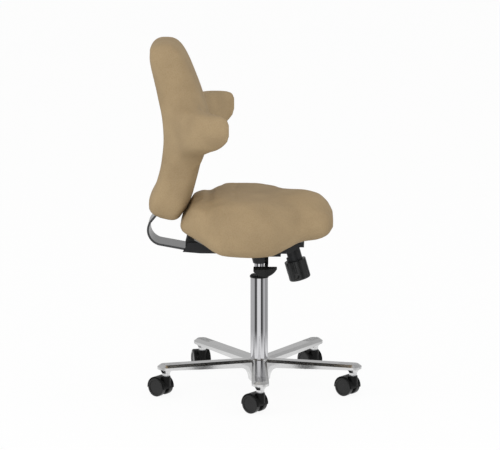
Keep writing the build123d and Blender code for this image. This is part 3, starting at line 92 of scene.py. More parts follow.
# An empty material, with its output and its piece's coordinates
def newMaterial(name):
    material = bpy.data.materials.new(name)
    material.use_nodes = True
    tree = material.node_tree
    tree.nodes.clear()
    output = addNode(tree, "ShaderNodeOutputMaterial")
    place = addNode(tree, "ShaderNodeTexCoord")
    return material, tree, output, place


# Artificial leather: a coated knit stretched over foam, tan, with a pebbled calender grain and a satin lustre
leather = {
    "light": "#A89373", "dark": "#9D896B",
    "pitShade": "#EFEBE4",         # painted shade: what the hollows between pebbles are multiplied by, to darken them
    "pitShadeShare": 0.6,          # how much of that painted shade is used
    "grain": 3.0,             # mm across one pebble: the real 1 mm would not show, so it is drawn coarser
    "crease": 22.0,           # mm across the shallow handling creases
    "cloud": 90.0,            # mm across the slow colour drift
    "grainBump": (0.10, 0.4), "creaseBump": (0.12, 1.2),   # strength, height in mm
    "roughness": (0.50, 0.62), "ior": 1.47, "specular": 0.06,
}


def artificialLeather():
    material, tree, output, place = newMaterial("artificialLeatherTan")
    cloud = addNode(tree, "ShaderNodeTexNoise", sockets={"Scale": 1000.0 / leather["cloud"], "Detail": 3.0},
                    links={"Vector": (place, "Object")})
    grain = addNode(tree, "ShaderNodeTexVoronoi", {"feature": "SMOOTH_F1"},
                    {"Scale": 1000.0 / leather["grain"], "Smoothness": 0.7}, {"Vector": (place, "Object")})
    crease = addNode(tree, "ShaderNodeTexNoise",
                     sockets={"Scale": 1000.0 / leather["crease"], "Detail": 5.0, "Roughness": 0.6},
                     links={"Vector": (place, "Object")})
    tone = addNode(tree, "ShaderNodeValToRGB", links={"Fac": (cloud, "Fac")},
                   stops=[(0.35, linear(leather["dark"])), (0.68, linear(leather["light"]))])
    # painted shade: the hollows between the pebbles of the grain are darkened
    pitShade = addNode(tree, "ShaderNodeValToRGB", links={"Fac": (grain, "Distance")},
                  stops=[(0.25, linear("#FFFFFF")), (0.75, linear(leather["pitShade"]))])
    colour = addNode(tree, "ShaderNodeMix", {"data_type": "RGBA", "blend_type": "MULTIPLY"},
                     {0: leather["pitShadeShare"]}, {6: (tone, "Color"), 7: (pitShade, "Color")})
    low, high = leather["roughness"]
    rough = addNode(tree, "ShaderNodeMapRange", sockets={"To Min": low, "To Max": high},
                    links={"Value": (crease, "Fac")})
    strength, height = leather["grainBump"]
    fine = addNode(tree, "ShaderNodeBump", {"invert": True}, {"Strength": strength, "Distance": height * mm},
                   {"Height": (grain, "Distance")})
    strength, height = leather["creaseBump"]
    slow = addNode(tree, "ShaderNodeBump", sockets={"Strength": strength, "Distance": height * mm},
                   links={"Height": (crease, "Fac"), "Normal": (fine, "Normal")})
    shader = addNode(tree, "ShaderNodeBsdfPrincipled",
                     sockets={"IOR": leather["ior"], "Specular IOR Level": leather["specular"]},
                     links={"Base Color": (colour, 2), "Roughness": (rough, "Result"), "Normal": (slow, "Normal")})
    tree.links.new(shader.outputs[0], output.inputs[0])
    return material


# Cast aluminium, ground and polished: bright, with a faint ripple and polishing lines that run out along the arms
castMetal = {
    "light": "#EAEAEA", "dark": "#E0E0E0",
    "ripple": 60.0,           # mm across the slow waves the grinding leaves
    "line": 1.4,              # mm between polishing lines: real ones are finer, drawn coarser to show
    "lineAt": 150.0,          # mm from the middle where the lines have that spacing
    "lineStretch": 0.03,      # how fast a line changes along the arm, beside across it
    "rippleBump": (0.03, 2.0),   # strength, height in mm
    "roughness": (0.15, 0.24),
}


def polishedAluminium():
    material, tree, output, place = newMaterial("polishedCastAluminium")
    ripple = addNode(tree, "ShaderNodeTexNoise", sockets={"Scale": 1000.0 / castMetal["ripple"], "Detail": 1.0},
                     links={"Vector": (place, "Object")})
    parts = addNode(tree, "ShaderNodeSeparateXYZ", links={0: (place, "Object")})
    angle = addNode(tree, "ShaderNodeMath", {"operation": "ARCTAN2"}, links={0: (parts, "Y"), 1: (parts, "X")})
    around = addNode(tree, "ShaderNodeMath", {"operation": "MULTIPLY"}, {1: castMetal["lineAt"] * mm},
                     {0: (angle, 0)})
    out = addNode(tree, "ShaderNodeVectorMath", {"operation": "LENGTH"}, links={0: (place, "Object")})
    slowOut = addNode(tree, "ShaderNodeMath", {"operation": "MULTIPLY"}, {1: castMetal["lineStretch"]},
                      {0: (out, "Value")})
    radial = addNode(tree, "ShaderNodeCombineXYZ", links={0: (around, 0), 1: (slowOut, 0), 2: (parts, "Z")})
    line = addNode(tree, "ShaderNodeTexNoise", sockets={"Scale": 1000.0 / castMetal["line"], "Detail": 2.0},
                   links={"Vector": (radial, 0)})
    tone = addNode(tree, "ShaderNodeValToRGB", links={"Fac": (line, "Fac")},
                   stops=[(0.3, linear(castMetal["dark"])), (0.7, linear(castMetal["light"]))])
    low, high = castMetal["roughness"]
    rough = addNode(tree, "ShaderNodeMapRange", sockets={"To Min": low, "To Max": high},
                    links={"Value": (line, "Fac")})
    strength, height = castMetal["rippleBump"]
    wave = addNode(tree, "ShaderNodeBump", sockets={"Strength": strength, "Distance": height * mm},
                   links={"Height": (ripple, "Fac")})
    shader = addNode(tree, "ShaderNodeBsdfPrincipled", sockets={"Metallic": 1.0},
                     links={"Base Color": (tone, "Color"), "Roughness": (rough, "Result"),
                            "Normal": (wave, "Normal")})
    tree.links.new(shader.outputs[0], output.inputs[0])
    return material


# Chrome plate on a drawn tube: a mirror with hardly any texture, only wiping marks along the tube
plating = {
    "light": "#E4E4E6", "dark": "#D8D8DB",
    "streak": 1.6,            # mm across a wiping mark, drawn coarser than real ones to show
    "stretch": 0.03,          # how fast a mark changes along the tube, beside across it
    "roughness": (0.04, 0.10),
}


def chromePlate():
    material, tree, output, place = newMaterial("chromePlatedSteel")
    along = addNode(tree, "ShaderNodeMapping", sockets={"Scale": (1.0, 1.0, plating["stretch"])},
                    links={"Vector": (place, "Object")})
    streak = addNode(tree, "ShaderNodeTexNoise", sockets={"Scale": 1000.0 / plating["streak"], "Detail": 3.0},
                     links={"Vector": (along, "Vector")})
    tone = addNode(tree, "ShaderNodeValToRGB", links={"Fac": (streak, "Fac")},
                   stops=[(0.3, linear(plating["dark"])), (0.7, linear(plating["light"]))])
    low, high = plating["roughness"]
    rough = addNode(tree, "ShaderNodeMapRange", sockets={"To Min": low, "To Max": high},
                    links={"Value": (streak, "Fac")})
    shader = addNode(tree, "ShaderNodeBsdfPrincipled", sockets={"Metallic": 1.0},
                     links={"Base Color": (tone, "Color"), "Roughness": (rough, "Result")})
    tree.links.new(shader.outputs[0], output.inputs[0])
    return material


# Zinc plate on cold-drawn steel: grey, slightly mottled, satin
zinc = {
    "light": "#B9BBBC", "dark": "#9FA1A3",
    "spangle": 4.0,           # mm across one patch
    "roughness": (0.25, 0.42),
}


def zincPlate():
    material, tree, output, place = newMaterial("zincPlatedSteel")
    spangle = addNode(tree, "ShaderNodeTexVoronoi", sockets={"Scale": 1000.0 / zinc["spangle"]},
                      links={"Vector": (place, "Object")})
    tone = addNode(tree, "ShaderNodeValToRGB", links={"Fac": (spangle, "Distance")},
                   stops=[(0.1, linear(zinc["dark"])), (0.8, linear(zinc["light"]))])
    low, high = zinc["roughness"]
    rough = addNode(tree, "ShaderNodeMapRange", sockets={"To Min": low, "To Max": high},
                    links={"Value": (spangle, "Distance")})
    shader = addNode(tree, "ShaderNodeBsdfPrincipled", sockets={"Metallic": 1.0},
                     links={"Base Color": (tone, "Color"), "Roughness": (rough, "Result")})
    tree.links.new(shader.outputs[0], output.inputs[0])
    return material


# Sintered bronze: warm, porous and dull
sinter = {
    "light": "#B28B55", "dark": "#8A6A3E",
    "pore": 0.8,              # mm between pores: real ones are finer, drawn coarser to show
    "roughness": (0.35, 0.50),
}


def sinteredBronze():
    material, tree, output, place = newMaterial("sinteredBronze")
    pore = addNode(tree, "ShaderNodeTexNoise", sockets={"Scale": 1000.0 / sinter["pore"], "Detail": 4.0},
                   links={"Vector": (place, "Object")})
    tone = addNode(tree, "ShaderNodeValToRGB", links={"Fac": (pore, "Fac")},
                   stops=[(0.3, linear(sinter["dark"])), (0.7, linear(sinter["light"]))])
    low, high = sinter["roughness"]
    rough = addNode(tree, "ShaderNodeMapRange", sockets={"To Min": low, "To Max": high},
                    links={"Value": (pore, "Fac")})
    shader = addNode(tree, "ShaderNodeBsdfPrincipled", sockets={"Metallic": 1.0},
                     links={"Base Color": (tone, "Color"), "Roughness": (rough, "Result")})
    tree.links.new(shader.outputs[0], output.inputs[0])
    return material


# Paints and moulded plastics differ in tone, grain (mm), its depth (mm), gloss and clear coat, so one recipe takes
# those figures; these are the same for all
paint = {
    "drift": 45.0,            # mm across the slow change of tone
    "bump": 0.15, "ior": 1.5, "coatRoughness": 0.08,
}


def paintOrPlastic(name, dark, light, grain, depth, roughness, gloss, coat):
    material, tree, output, place = newMaterial(name)
    peel = addNode(tree, "ShaderNodeTexNoise", sockets={"Scale": 1000.0 / grain, "Detail": 3.0},
                   links={"Vector": (place, "Object")})
    drift = addNode(tree, "ShaderNodeTexNoise", sockets={"Scale": 1000.0 / paint["drift"], "Detail": 4.0},
                    links={"Vector": (place, "Object")})
    tone = addNode(tree, "ShaderNodeValToRGB", links={"Fac": (drift, "Fac")},
                   stops=[(0.3, linear(dark)), (0.7, linear(light))])
    low, high = roughness
    rough = addNode(tree, "ShaderNodeMapRange", sockets={"To Min": low, "To Max": high},
                    links={"Value": (drift, "Fac")})
    bump = addNode(tree, "ShaderNodeBump", sockets={"Strength": paint["bump"], "Distance": depth * mm},
                   links={"Height": (peel, "Fac")})
    shader = addNode(tree, "ShaderNodeBsdfPrincipled",
                     sockets={"IOR": paint["ior"], "Specular IOR Level": gloss, "Coat Weight": coat,
                              "Coat Roughness": paint["coatRoughness"]},
                     links={"Base Color": (tone, "Color"), "Roughness": (rough, "Result"),
                            "Normal": (bump, "Normal")})
    tree.links.new(shader.outputs[0], output.inputs[0])
    return material


leatherTan = artificialLeather()
aluminium = polishedAluminium()
chrome = chromePlate()
zincSteel = zincPlate()
bronze = sinteredBronze()
# Powder coat: fine orange peel, half gloss. Enamel: smooth and wet-looking, so it mirrors at a shallow angle.
powderCoat = paintOrPlastic("powderCoatBlack", "#191A1C", "#232426", 1.6, 0.10, (0.36, 0.48), 0.35, 0.0)
enamel = paintOrPlastic("enamelBlack", "#17181A", "#202124", 6.0, 0.05, (0.12, 0.18), 0.5, 0.6)
# Moulded polyamide: spark-eroded mould grain, drawn coarser than it is so that it shows, dull. Nylon from polished
# moulds shines: the knob most, the wheels less, the hoods least and blackest.
polyamide = paintOrPlastic("mouldedPolyamideBlack", "#1A1B1B", "#242525", 1.2, 0.12, (0.46, 0.58), 0.25, 0.0)
knobNylon = paintOrPlastic("mouldedNylonKnob", "#191A1A", "#222323", 2.2, 0.05, (0.24, 0.32), 0.5, 0.0)
wheelNylon = paintOrPlastic("mouldedNylonWheel", "#191919", "#222222", 2.2, 0.06, (0.22, 0.30), 0.35, 0.0)
hoodNylon = paintOrPlastic("mouldedNylonHood", "#0B0B0B", "#101010", 2.2, 0.06, (0.28, 0.36), 0.15, 0.0)
# Shell plastic: plain grey with a coarse, dull mould grain
shellPlastic = paintOrPlastic("mouldedShellPlastic", "#74726E", "#807E79", 3.0, 0.15, (0.50, 0.62), 0.3, 0.0)

finishes = {
    "star_base": aluminium, "column_tube": chrome, "column_bush": polyamide, "gas_cylinder": chrome,
    "rod_guide": polyamide, "piston_rod": chrome, "rod_clip": zincSteel, "thrust_bearing": zincSteel,
    "valve_pin": zincSteel, "caster_stems": zincSteel, "mechanism_tray": powderCoat, "height_lever": polyamide,
    "lever_pin": zincSteel, "tilt_frame": powderCoat, "pivot_pin": zincSteel, "pivot_bushes": bronze,
    "pivot_clips": zincSteel, "rear_cover": polyamide, "tension_knob": knobNylon, "tension_spindle": zincSteel,
    "spring_cup": powderCoat, "tension_nut": zincSteel, "slide_rails": zincSteel,
    "slide_runners": polyamide, "latch_rack": zincSteel, "slide_latch": polyamide, "latch_pin": zincSteel,
    "seat_shell": shellPlastic, "seat_screws": zincSteel, "back_bar": enamel, "bar_spacer": powderCoat,
    "bar_bolts": zincSteel, "back_shell": shellPlastic, "back_carrier": powderCoat,
}
for number in range(1, 6):
    finishes[f"caster_{number}_hood"] = hoodNylon
    finishes[f"caster_{number}_axle"] = zincSteel
    finishes[f"caster_{number}_wheel_right"] = wheelNylon
    finishes[f"caster_{number}_wheel_left"] = wheelNylon
for name, finish in finishes.items():
    mesh = nodes[name].data
    mesh.materials.clear()
    mesh.materials.append(finish)
print("finishes on", len(finishes), "nodes")


# Cubic curve through the knots: Hermite pieces, each slope the harmonic mean of its neighbours' slopes, level where
# they change sign, so the curve never swings past a knot
def curveThrough(knots, values, at):
    step = np.diff(values, axis=0) / np.diff(knots)[:, None]
    before, after = step[:-1], step[1:]
    same = before * after > 0.0
    middle = np.where(same, 2.0 * before * after / np.where(same, before + after, 1.0), 0.0)
    slope = np.concatenate([step[:1], middle, step[-1:]])
    i = np.clip(np.searchsorted(knots, at, side="right") - 1, 0, len(knots) - 2)
    gap = (knots[i + 1] - knots[i])[:, None]
    t = ((at - knots[i])[:, None]) / gap
    return ((1 + 2 * t) * (1 - t) ** 2 * values[i] + t * (1 - t) ** 2 * gap * slope[i]
            + t ** 2 * (3 - 2 * t) * values[i + 1] + t ** 2 * (t - 1) * gap * slope[i + 1])


# A stack of closed rings becomes a closed skin: quads between rings, a fan to the middle of each end ring
def ringSkin(rings, first=0):
    count, around = rings.shape[:2]
    points = np.concatenate([rings.reshape(-1, 3), rings[:1].mean(1), rings[-1:].mean(1)])
    row, col = np.meshgrid(np.arange(count - 1), np.arange(around), indexing="ij")
    a = row * around + col
    b = row * around + (col + 1) % around
    quads = np.stack([a, b, b + around, a + around], -1).reshape(-1, 4) + first
    col = np.arange(around)
    after = (col + 1) % around
    last = (count - 1) * around
    head = np.stack([np.full(around, count * around), after, col], -1) + first
    tail = np.stack([np.full(around, count * around + 1), last + col, last + after], -1) + first
    return points, quads.tolist() + head.tolist() + tail.tolist()


# Stacks of rings become one object, with a closed skin for each stack
def meshPiece(name, stacks):
    points, faces, first = [], [], 0
    for rings in stacks:
        skinPoints, skinFaces = ringSkin(rings, first)
        points.append(skinPoints)
        faces += skinFaces
        first += len(skinPoints)
    mesh = bpy.data.meshes.new(name)
    mesh.from_pydata(np.concatenate(points).tolist(), [], faces)
    mesh.validate()
    mesh.update()
    piece = bpy.data.objects.new(name, mesh)
    bpy.context.scene.collection.objects.link(piece)
    return piece


def readPoints(mesh):
    flat = np.empty(len(mesh.vertices) * 3)
    mesh.vertices.foreach_get("co", flat)
    return flat.reshape(-1, 3)


def writePoints(mesh, points):
    mesh.vertices.foreach_set("co", np.ascontiguousarray(points, dtype=np.float32).ravel())
    mesh.update()


def readNormals(mesh):
    flat = np.empty(len(mesh.vertices) * 3)
    mesh.vertex_normals.foreach_get("vector", flat)
    return flat.reshape(-1, 3)


def readEdges(mesh):
    flat = np.empty(len(mesh.edges) * 2, dtype=np.int32)
    mesh.edges.foreach_get("vertices", flat)
    return flat.reshape(-1, 2)


# The piece's modifiers are worked into its mesh
def settle(piece):
    depsgraph = bpy.context.evaluated_depsgraph_get()
    mesh = bpy.data.meshes.new_from_object(piece.evaluated_get(depsgraph))
    old = piece.data
    piece.modifiers.clear()
    piece.data = mesh
    bpy.data.meshes.remove(old)


# Even quads over the whole skin, which also joins stacks that overlap
def evenSkin(piece, voxel):
    remesh = piece.modifiers.new("evenSkin", "REMESH")
    remesh.mode = "VOXEL"
    remesh.voxel_size = voxel * mm
    remesh.use_smooth_shade = True
    settle(piece)


# share of the way to the neighbours' mean that a point moves in one round
relaxStep = {"inward": 0.5, "outward": -0.53}


# Each point moves toward the mean of its neighbours along the edges by its weight; where volume is kept, every
# second round moves it back out a little further
def relax(points, edges, weight, rounds, keepVolume):
    a, b = edges.T
    many = len(points)
    neighbours = np.bincount(edges.ravel(), minlength=many)[:, None]
    for turn in range(rounds):
        total = np.stack([np.bincount(a, points[b, k], many) + np.bincount(b, points[a, k], many)
                          for k in range(3)], -1)
        step = relaxStep["outward"] if keepVolume and turn % 2 else relaxStep["inward"]
        points = points + step * weight[:, None] * (total / neighbours - points)
    return points


coverCloth = {
    "frames": 20, "quality": 5, "mass": 0.4, "bending": 2.0,
    "shear": 0.5,             # share of the stiffness that resists shear
    "smoothRounds": 2,        # rounds of smoothing after it is blown up
}


# Foam under a stretched cover: the cover is blown up a little against its own stiffness, and no point may go
# further than the cap; held is true where the cover is fixed to the shell
def stuffed(piece, held, pressure, cap, stiffness):
    start = readPoints(piece.data)
    group = piece.vertex_groups.new(name="fixedEdge")
    group.add(np.flatnonzero(held).tolist(), 1.0, "REPLACE")
    cloth = piece.modifiers.new("stretchedCover", "CLOTH")
    setup = cloth.settings
    setup.quality = coverCloth["quality"]
    setup.mass = coverCloth["mass"]
    setup.tension_stiffness = stiffness
    setup.compression_stiffness = stiffness
    setup.shear_stiffness = stiffness * coverCloth["shear"]
    setup.bending_stiffness = coverCloth["bending"]
    setup.use_pressure = True
    setup.uniform_pressure_force = pressure
    setup.vertex_group_mass = group.name
    setup.effector_weights.gravity = 0.0
    cloth.collision_settings.use_collision = False
    cloth.point_cache.frame_start = 1
    cloth.point_cache.frame_end = coverCloth["frames"]
    for step in range(1, coverCloth["frames"] + 1):
        bpy.context.scene.frame_set(step)
    settle(piece)
    bpy.context.scene.frame_set(1)
    moved = readPoints(piece.data) - start
    size = np.linalg.norm(moved, axis=1, keepdims=True)
    return start + moved * np.minimum(1.0, cap * mm / np.maximum(size, 1e-9))


# A crease pressed into the cover: as deep as a bell curve of the distance from the line between two points
def pressCreases(piece, creases):
    points, normals = readPoints(piece.data), readNormals(piece.data)
    for start, end, width, depth in creases:
        for side in (1.0, -1.0):
            a, b = np.array(start) * (1, side, 1) * mm, np.array(end) * (1, side, 1) * mm
            t = np.clip((points - a) @ (b - a) / ((b - a) @ (b - a)), 0.0, 1.0)
            away = np.linalg.norm(points - a - t[:, None] * (b - a), axis=1) / (width * mm)
            points = points - normals * (depth * mm * np.exp(-away ** 2))[:, None]
    writePoints(piece.data, points)


# From the even skin to the finished cover: edges softened, deeper folds rounded out, cloth blown up from a smaller
# start, part of the way brought back to the foam's own shape, one subdivision, creases pressed in
def upholster(piece, values, fold, held):
    edges = readEdges(piece.data)
    points = readPoints(piece.data)
    foam = relax(points, edges, np.ones(len(points)), values["softRounds"], True)
    foam = relax(foam, edges, fold, values["foldRounds"], False)
    writePoints(piece.data, foam)
    normals = readNormals(piece.data)
    writePoints(piece.data, foam - normals * (values["shrink"] * mm * ~held)[:, None])
    cover = stuffed(piece, held, values["pressure"], values["cap"], values["stiffness"])
    cover = cover + values["foamPull"] * (foam - cover)
    writePoints(piece.data, relax(cover, edges, np.ones(len(cover)), coverCloth["smoothRounds"], True))
    subdivision = piece.modifiers.new("finerSkin", "SUBSURF")
    subdivision.levels = 1
    subdivision.render_levels = 1
    settle(piece)
    pressCreases(piece, values["creases"])
    piece.data.shade_smooth()
    piece.data.materials.append(leatherTan)
    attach(piece, values["body"])
    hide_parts(values["node"])


# Tension spring: two half coils wound at rest toward their shared middle; the joints named for them, the knob's
# turn and the seat's tilt, are not used here (mm)
coil = {
    "body": "tilt", "node": "tension_spring",
    "axisFoot": (117.5, 0.0, 323.5), "lean": 16.0,
    "low": 34.3, "high": 81.7, "radius": 13.0, "wire": 2.0, "turns": 6.0,
    "rings": 97, "sides": 14,   # along each half, round the wire
    # part of the length from and to, joint that shortens it, share kept at the joint's limit
    "halves": {"springLower": (0.0, 0.5, "knob_turn", 0.59), "springUpper": (0.5, 1.0, "seat_tilt", 0.52)},
}


# A round wire along the helix: its ring lies in the plane of the outward direction and of tangent times outward
def makeHalfCoil(name, start, end, joint, keep):
    share = np.linspace(start, end, coil["rings"])
    lean = math.radians(coil["lean"])
    axis = np.array((-math.sin(lean), 0.0, math.cos(lean)))
    ahead, across = np.array((math.cos(lean), 0.0, math.sin(lean))), np.array((0.0, 1.0, 0.0))
    angle = 2.0 * np.pi * coil["turns"] * share[:, None]
    outward = np.cos(angle) * ahead + np.sin(angle) * across
    climb = (coil["low"] + (coil["high"] - coil["low"]) * share)[:, None]
    line = np.array(coil["axisFoot"]) + axis * climb + outward * coil["radius"]
    tangent = np.gradient(line, axis=0)
    other = np.cross(tangent / np.linalg.norm(tangent, axis=1, keepdims=True), outward)
    turn = np.linspace(0.0, 2.0 * np.pi, coil["sides"], endpoint=False)[None, :, None]
    rings = line[:, None] + coil["wire"] * (np.cos(turn) * outward[:, None] + np.sin(turn) * other[:, None])
    piece = meshPiece(name, [rings * mm])
    piece.data.shade_smooth()
    piece.data.materials.append(zincSteel)
    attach(piece, coil["body"])
    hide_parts(coil["node"])
    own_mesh(piece)


for name, half in coil["halves"].items():
    makeHalfCoil(name, *half)
print("tension spring wound")


# A bulging run from a to b: a straight mix plus an outward parabola
def bulge(a, b, amount, count):
    t = np.linspace(0.0, 1.0, count, endpoint=False)[None, :, None]
    chord = (b - a)[:, None, :]
    out = np.stack([-chord[..., 1], chord[..., 0]], -1)
    return a[:, None, :] + chord * t + out * (amount * 4.0 * t * (1.0 - t))


# Seat: crosswise rings along X. Each half ring runs from the crown over shoulder and waist to the lip of the flap,
# then back inside over the shell (mm)
saddle = {
    "body": "seat", "node": "seat_cushion", "fill": 0.9,
    "shellTop": 466.5, "top": 578.9, "lip": 427.5, "noseFoot": 455.5, "pan": 70.0,
    "gap": 0.8, "shellMargin": 1.0,   # clear of the shell, and past its two ends
    "flapEdge": 6.0, "panEdge": 8.0, "rimLift": 1.0,   # hollow inside the lip, pan inside the hollow, rim above lip
    # x, half width of the shell, how far its edge drops
    "shell": [(-182, 92, 8), (-110, 176, 24), (-20, 190, 26), (45, 166, 24), (115, 74, 4), (162, 66, 2)],
    "rings": 141, "crownSteps": 24,
    # bulge and points of each run after the crown
    "runs": [(0.17, 22), (0.20, 22), (0.0, 6), (0.0, 6), (0.0, 14), (0.0, 8)],
    "heldSlope": -0.35, "heldRise": 6.0,   # the cover is fixed where it faces down or is this near to the lip
    "voxel": 5.0, "softRounds": 16, "foldRounds": 0, "shrink": 2.5, "pressure": 6.0, "cap": 8.0,
    "stiffness": 12.0, "foamPull": 0.6,
    # start, end, width and depth of each crease on the sitter's left, mirrored to the right
    "creases": [((-134, 20, 567), (-131, 84, 563), 7.0, 1.7), ((-71, 24, 578), (-66, 112, 574), 7.0, 1.7),
                ((-22, 186, 541), (92, 148, 543), 8.0, 1.2)],
}


# Columns: x, half width, top, crown, shoulder, waist, foot half, foot
def seatStations():
    top, shell, lip, nose = saddle["top"], saddle["shellTop"], saddle["lip"], saddle["noseFoot"]
    return np.array([
        (-222, 90, top - 78, 5, 68, shell + 30, 72, shell + 24),
        (-215, 114, top - 63, 6, 92, shell + 33, 94, shell + 13),
        (-204, 128, top - 38, 8, 108, shell + 37, 106, shell + 7),
        (-188, 142, top - 12, 15, 123, shell + 36, 118, shell + 0),
        (-168, 160, top - 9, 17, 136, shell + 33, 136, shell - 8),
        (-146, 187, top - 13, 15, 146, shell + 25, 161, lip + 21),
        (-122, 211, top - 5, 10, 157, shell + 18, 186, lip + 10),
        (-95, 227, top - 2, 6, 166, shell + 14, 205, lip + 3),
        (-20, 239, top - 3, 6, 172, shell + 12, 209, lip - 1),
        (35, 225, top - 4, 9, 160, shell + 13, 197, lip + 1),
        (85, 174, top - 3, 17, 118, shell + 26, 138, lip + 13),
        (123, 127, top - 1, 19, 92, shell + 43, 96, nose - 5),
        (165, 113, top - 8, 20, 82, shell + 46, 82, nose - 1),
        (195, 96, top - 32, 16, 68, shell + 42, 69, nose + 10),
        (211, 62, top - 59, 6, 42, shell + 38, 46, nose + 30),
    ], float)


# Half a ring is a parabola over the crown, then bulging runs from corner to corner; the other half mirrors it
def seatRings():
    stations = seatStations()
    x = np.linspace(stations[0, 0], stations[-1, 0], saddle["rings"])
    half, top, crown, shoulder, waist, footHalf, foot = curveThrough(stations[:, 0], stations[:, 1:], x).T
    shell = np.array(saddle["shell"], float)
    wide = np.interp(x, shell[:, 0], shell[:, 1]) + saddle["gap"]
    edge = saddle["shellTop"] - np.interp(x, shell[:, 0], shell[:, 2]) + saddle["gap"]
    inside = (x > shell[0, 0] - saddle["shellMargin"]) & (x < shell[-1, 0] + saddle["shellMargin"])
    crownRun = np.linspace(0.0, 1.0, saddle["crownSteps"], endpoint=False)
    over = np.stack([shoulder[:, None] * crownRun, top[:, None] - crown[:, None] * crownRun ** 2], -1)
    inner = np.minimum(wide, footHalf - saddle["flapEdge"])
    rim = np.where(inside, foot + saddle["rimLift"], foot)
    pan = np.minimum(saddle["pan"], inner - saddle["panEdge"])
    hollow = np.where(inside, np.maximum(saddle["shellTop"] + saddle["gap"], rim), foot)
    corners = [(shoulder, top - crown), (half, waist), (footHalf, foot), (inner, rim),
               (inner, np.where(inside, np.maximum(edge, rim), foot)), (pan, hollow), (pan * 0.0, hollow)]
    corners = [np.stack(corner, -1) for corner in corners]
    runs = zip(corners[:-1], corners[1:], saddle["runs"])
    halfRing = np.concatenate([over, *(bulge(a, b, amount, count) for a, b, (amount, count) in runs),
                               corners[-1][:, None, :]], 1)
    otherHalf = halfRing[:, -2:0:-1] * np.array([-1.0, 1.0])
    ring = np.concatenate([halfRing, otherHalf], 1)
    return np.concatenate([np.repeat(x[:, None, None], ring.shape[1], 1), ring], -1) * mm


def makeSeat():
    seat = meshPiece("seatUpholstery", [seatRings()])
    evenSkin(seat, saddle["voxel"])
    points, normals = readPoints(seat.data), readNormals(seat.data)
    held = (normals[:, 2] < saddle["heldSlope"]) | (points[:, 2] < (saddle["lip"] + saddle["heldRise"]) * mm)
    upholster(seat, saddle, np.zeros(len(points)), held)
    return seat


seat = makeSeat()
print("seat upholstered", len(seat.data.polygons), "faces")

# Back: level rings up the panel and upright rings out along each wing (mm)
backrest = {
    "body": "back", "node": "back_cushion", "fill": 0.9,
    "foot": 511.5, "wingMid": 783.5,
    # rise, rear, front, half width
    "panel": [(-6, -276, -244, 58), (3, -298, -231, 86), (18, -310, -219, 98), (40, -308, -206, 105),
              (87, -289, -190, 110), (160, -271, -171, 111), (225, -265, -153, 111), (275, -268, -149, 109),
              (340, -280, -166, 106), (415, -297, -193, 104), (455, -308, -210, 102), (478, -309, -223, 98),
              (490, -302, -233, 91), (498, -290, -245, 77), (502, -274, -258, 52)],
    # y, rear, front, lower and upper edge from the wing's middle
    "wing": [(84, -252, -152, -136, 104), (108, -246, -143, -124, 90), (122, -238, -138, -107, 70),
             (140, -227, -130, -88, 58), (175, -207, -112, -68, 53), (212, -179, -89, -52, 51),
             (235, -153, -74, -29, 45), (246, -132, -84, -9, 31)],
    "panelRings": 150, "panelSides": 128, "wingRings": 70, "wingSides": 96,
    # the flared root leans back with the panel's bent front: slope below and above the middle, fading out along y
    "wingLean": (0.03, 0.25), "leanFrom": 165.0, "leanOver": 50.0,
    "panelSquare": 5.2, "wingSquare": 3.8,
    # swell of the front, share of it at the rear, half depth from which it is full
    "crown": 6.0, "crownRear": -0.4, "crownDepth": 50.0,
    "footTilt": 0.20, "footTiltTo": 90.0,   # the foot drops toward the front by this slope, fading out at this rise
    # the wing's root is rounded out: its y, its middle below the wing's, half its height, mm it reaches past that
    "rootAt": 112.0, "rootDrop": 8.0, "rootHalf": 80.0, "rootWide": 32.0,
    "heldRise": 3.0,          # the cover is fixed this near to the foot
    "voxel": 5.0, "softRounds": 16, "foldRounds": 110, "shrink": 2.5, "pressure": 6.0, "cap": 8.0,
    "stiffness": 12.0, "foamPull": 0.6,
    "creases": [((-241, 112, 705), (-243, 110, 812), 8.0, 0.5)],
}


# A rounded outline: the superellipse |u|^n + |v|^n = 1
def superOutline(square, count):
    angle = np.linspace(0.0, 2.0 * np.pi, count, endpoint=False)
    c, s = np.cos(angle), np.sin(angle)
    return np.sign(c) * np.abs(c) ** (2.0 / square), np.sign(s) * np.abs(s) ** (2.0 / square)


# Level rings: x is the middle plus half depth times u plus a swell that dies out at the sides, y is half width
# times v, and the height falls with x near the foot
def panelRings():
    table = np.array(backrest["panel"], float)
    z = np.linspace(table[0, 0], table[-1, 0], backrest["panelRings"])
    rear, front, half = curveThrough(table[:, 0], table[:, 1:], z).T
    u, v = superOutline(backrest["panelSquare"], backrest["panelSides"])
    middle, depth = (rear + front)[:, None] / 2, (front - rear)[:, None] / 2
    swell = backrest["crown"] * np.clip(u, backrest["crownRear"], 1.0) * (1.0 - v ** 2)
    x = middle + depth * u + swell * np.clip(depth / backrest["crownDepth"], 0.0, 1.0)
    y = half[:, None] * v
    slope = backrest["footTilt"] * np.clip(1.0 - z / backrest["footTiltTo"], 0.0, 1.0)
    height = z[:, None] + backrest["foot"] - slope[:, None] * (x - middle)
    return np.stack([x, y, height], -1) * mm


# Upright rings: the rise is the middle plus half height times v, and x is the middle plus half depth times u,
# less a lean in proportion to the rise that fades out along the wing
def wingRings(side):
    table = np.array(backrest["wing"], float)
    y = np.linspace(table[0, 0], table[-1, 0], backrest["wingRings"])
    rear, front, low, high = curveThrough(table[:, 0], table[:, 1:], y).T
    u, v = superOutline(backrest["wingSquare"], backrest["wingSides"])
    rise = (low + high)[:, None] / 2 + (high - low)[:, None] / 2 * v * side
    lean = np.where(rise < 0.0, *backrest["wingLean"]) * np.abs(rise)
    fade = np.clip((backrest["leanFrom"] - y) / backrest["leanOver"], 0.0, 1.0)[:, None]
    x = (rear + front)[:, None] / 2 + (front - rear)[:, None] / 2 * u - lean * fade
    z = backrest["wingMid"] + rise
    across = np.broadcast_to(-y[:, None] * side, x.shape)
    return np.stack([x, across, z], -1) * mm


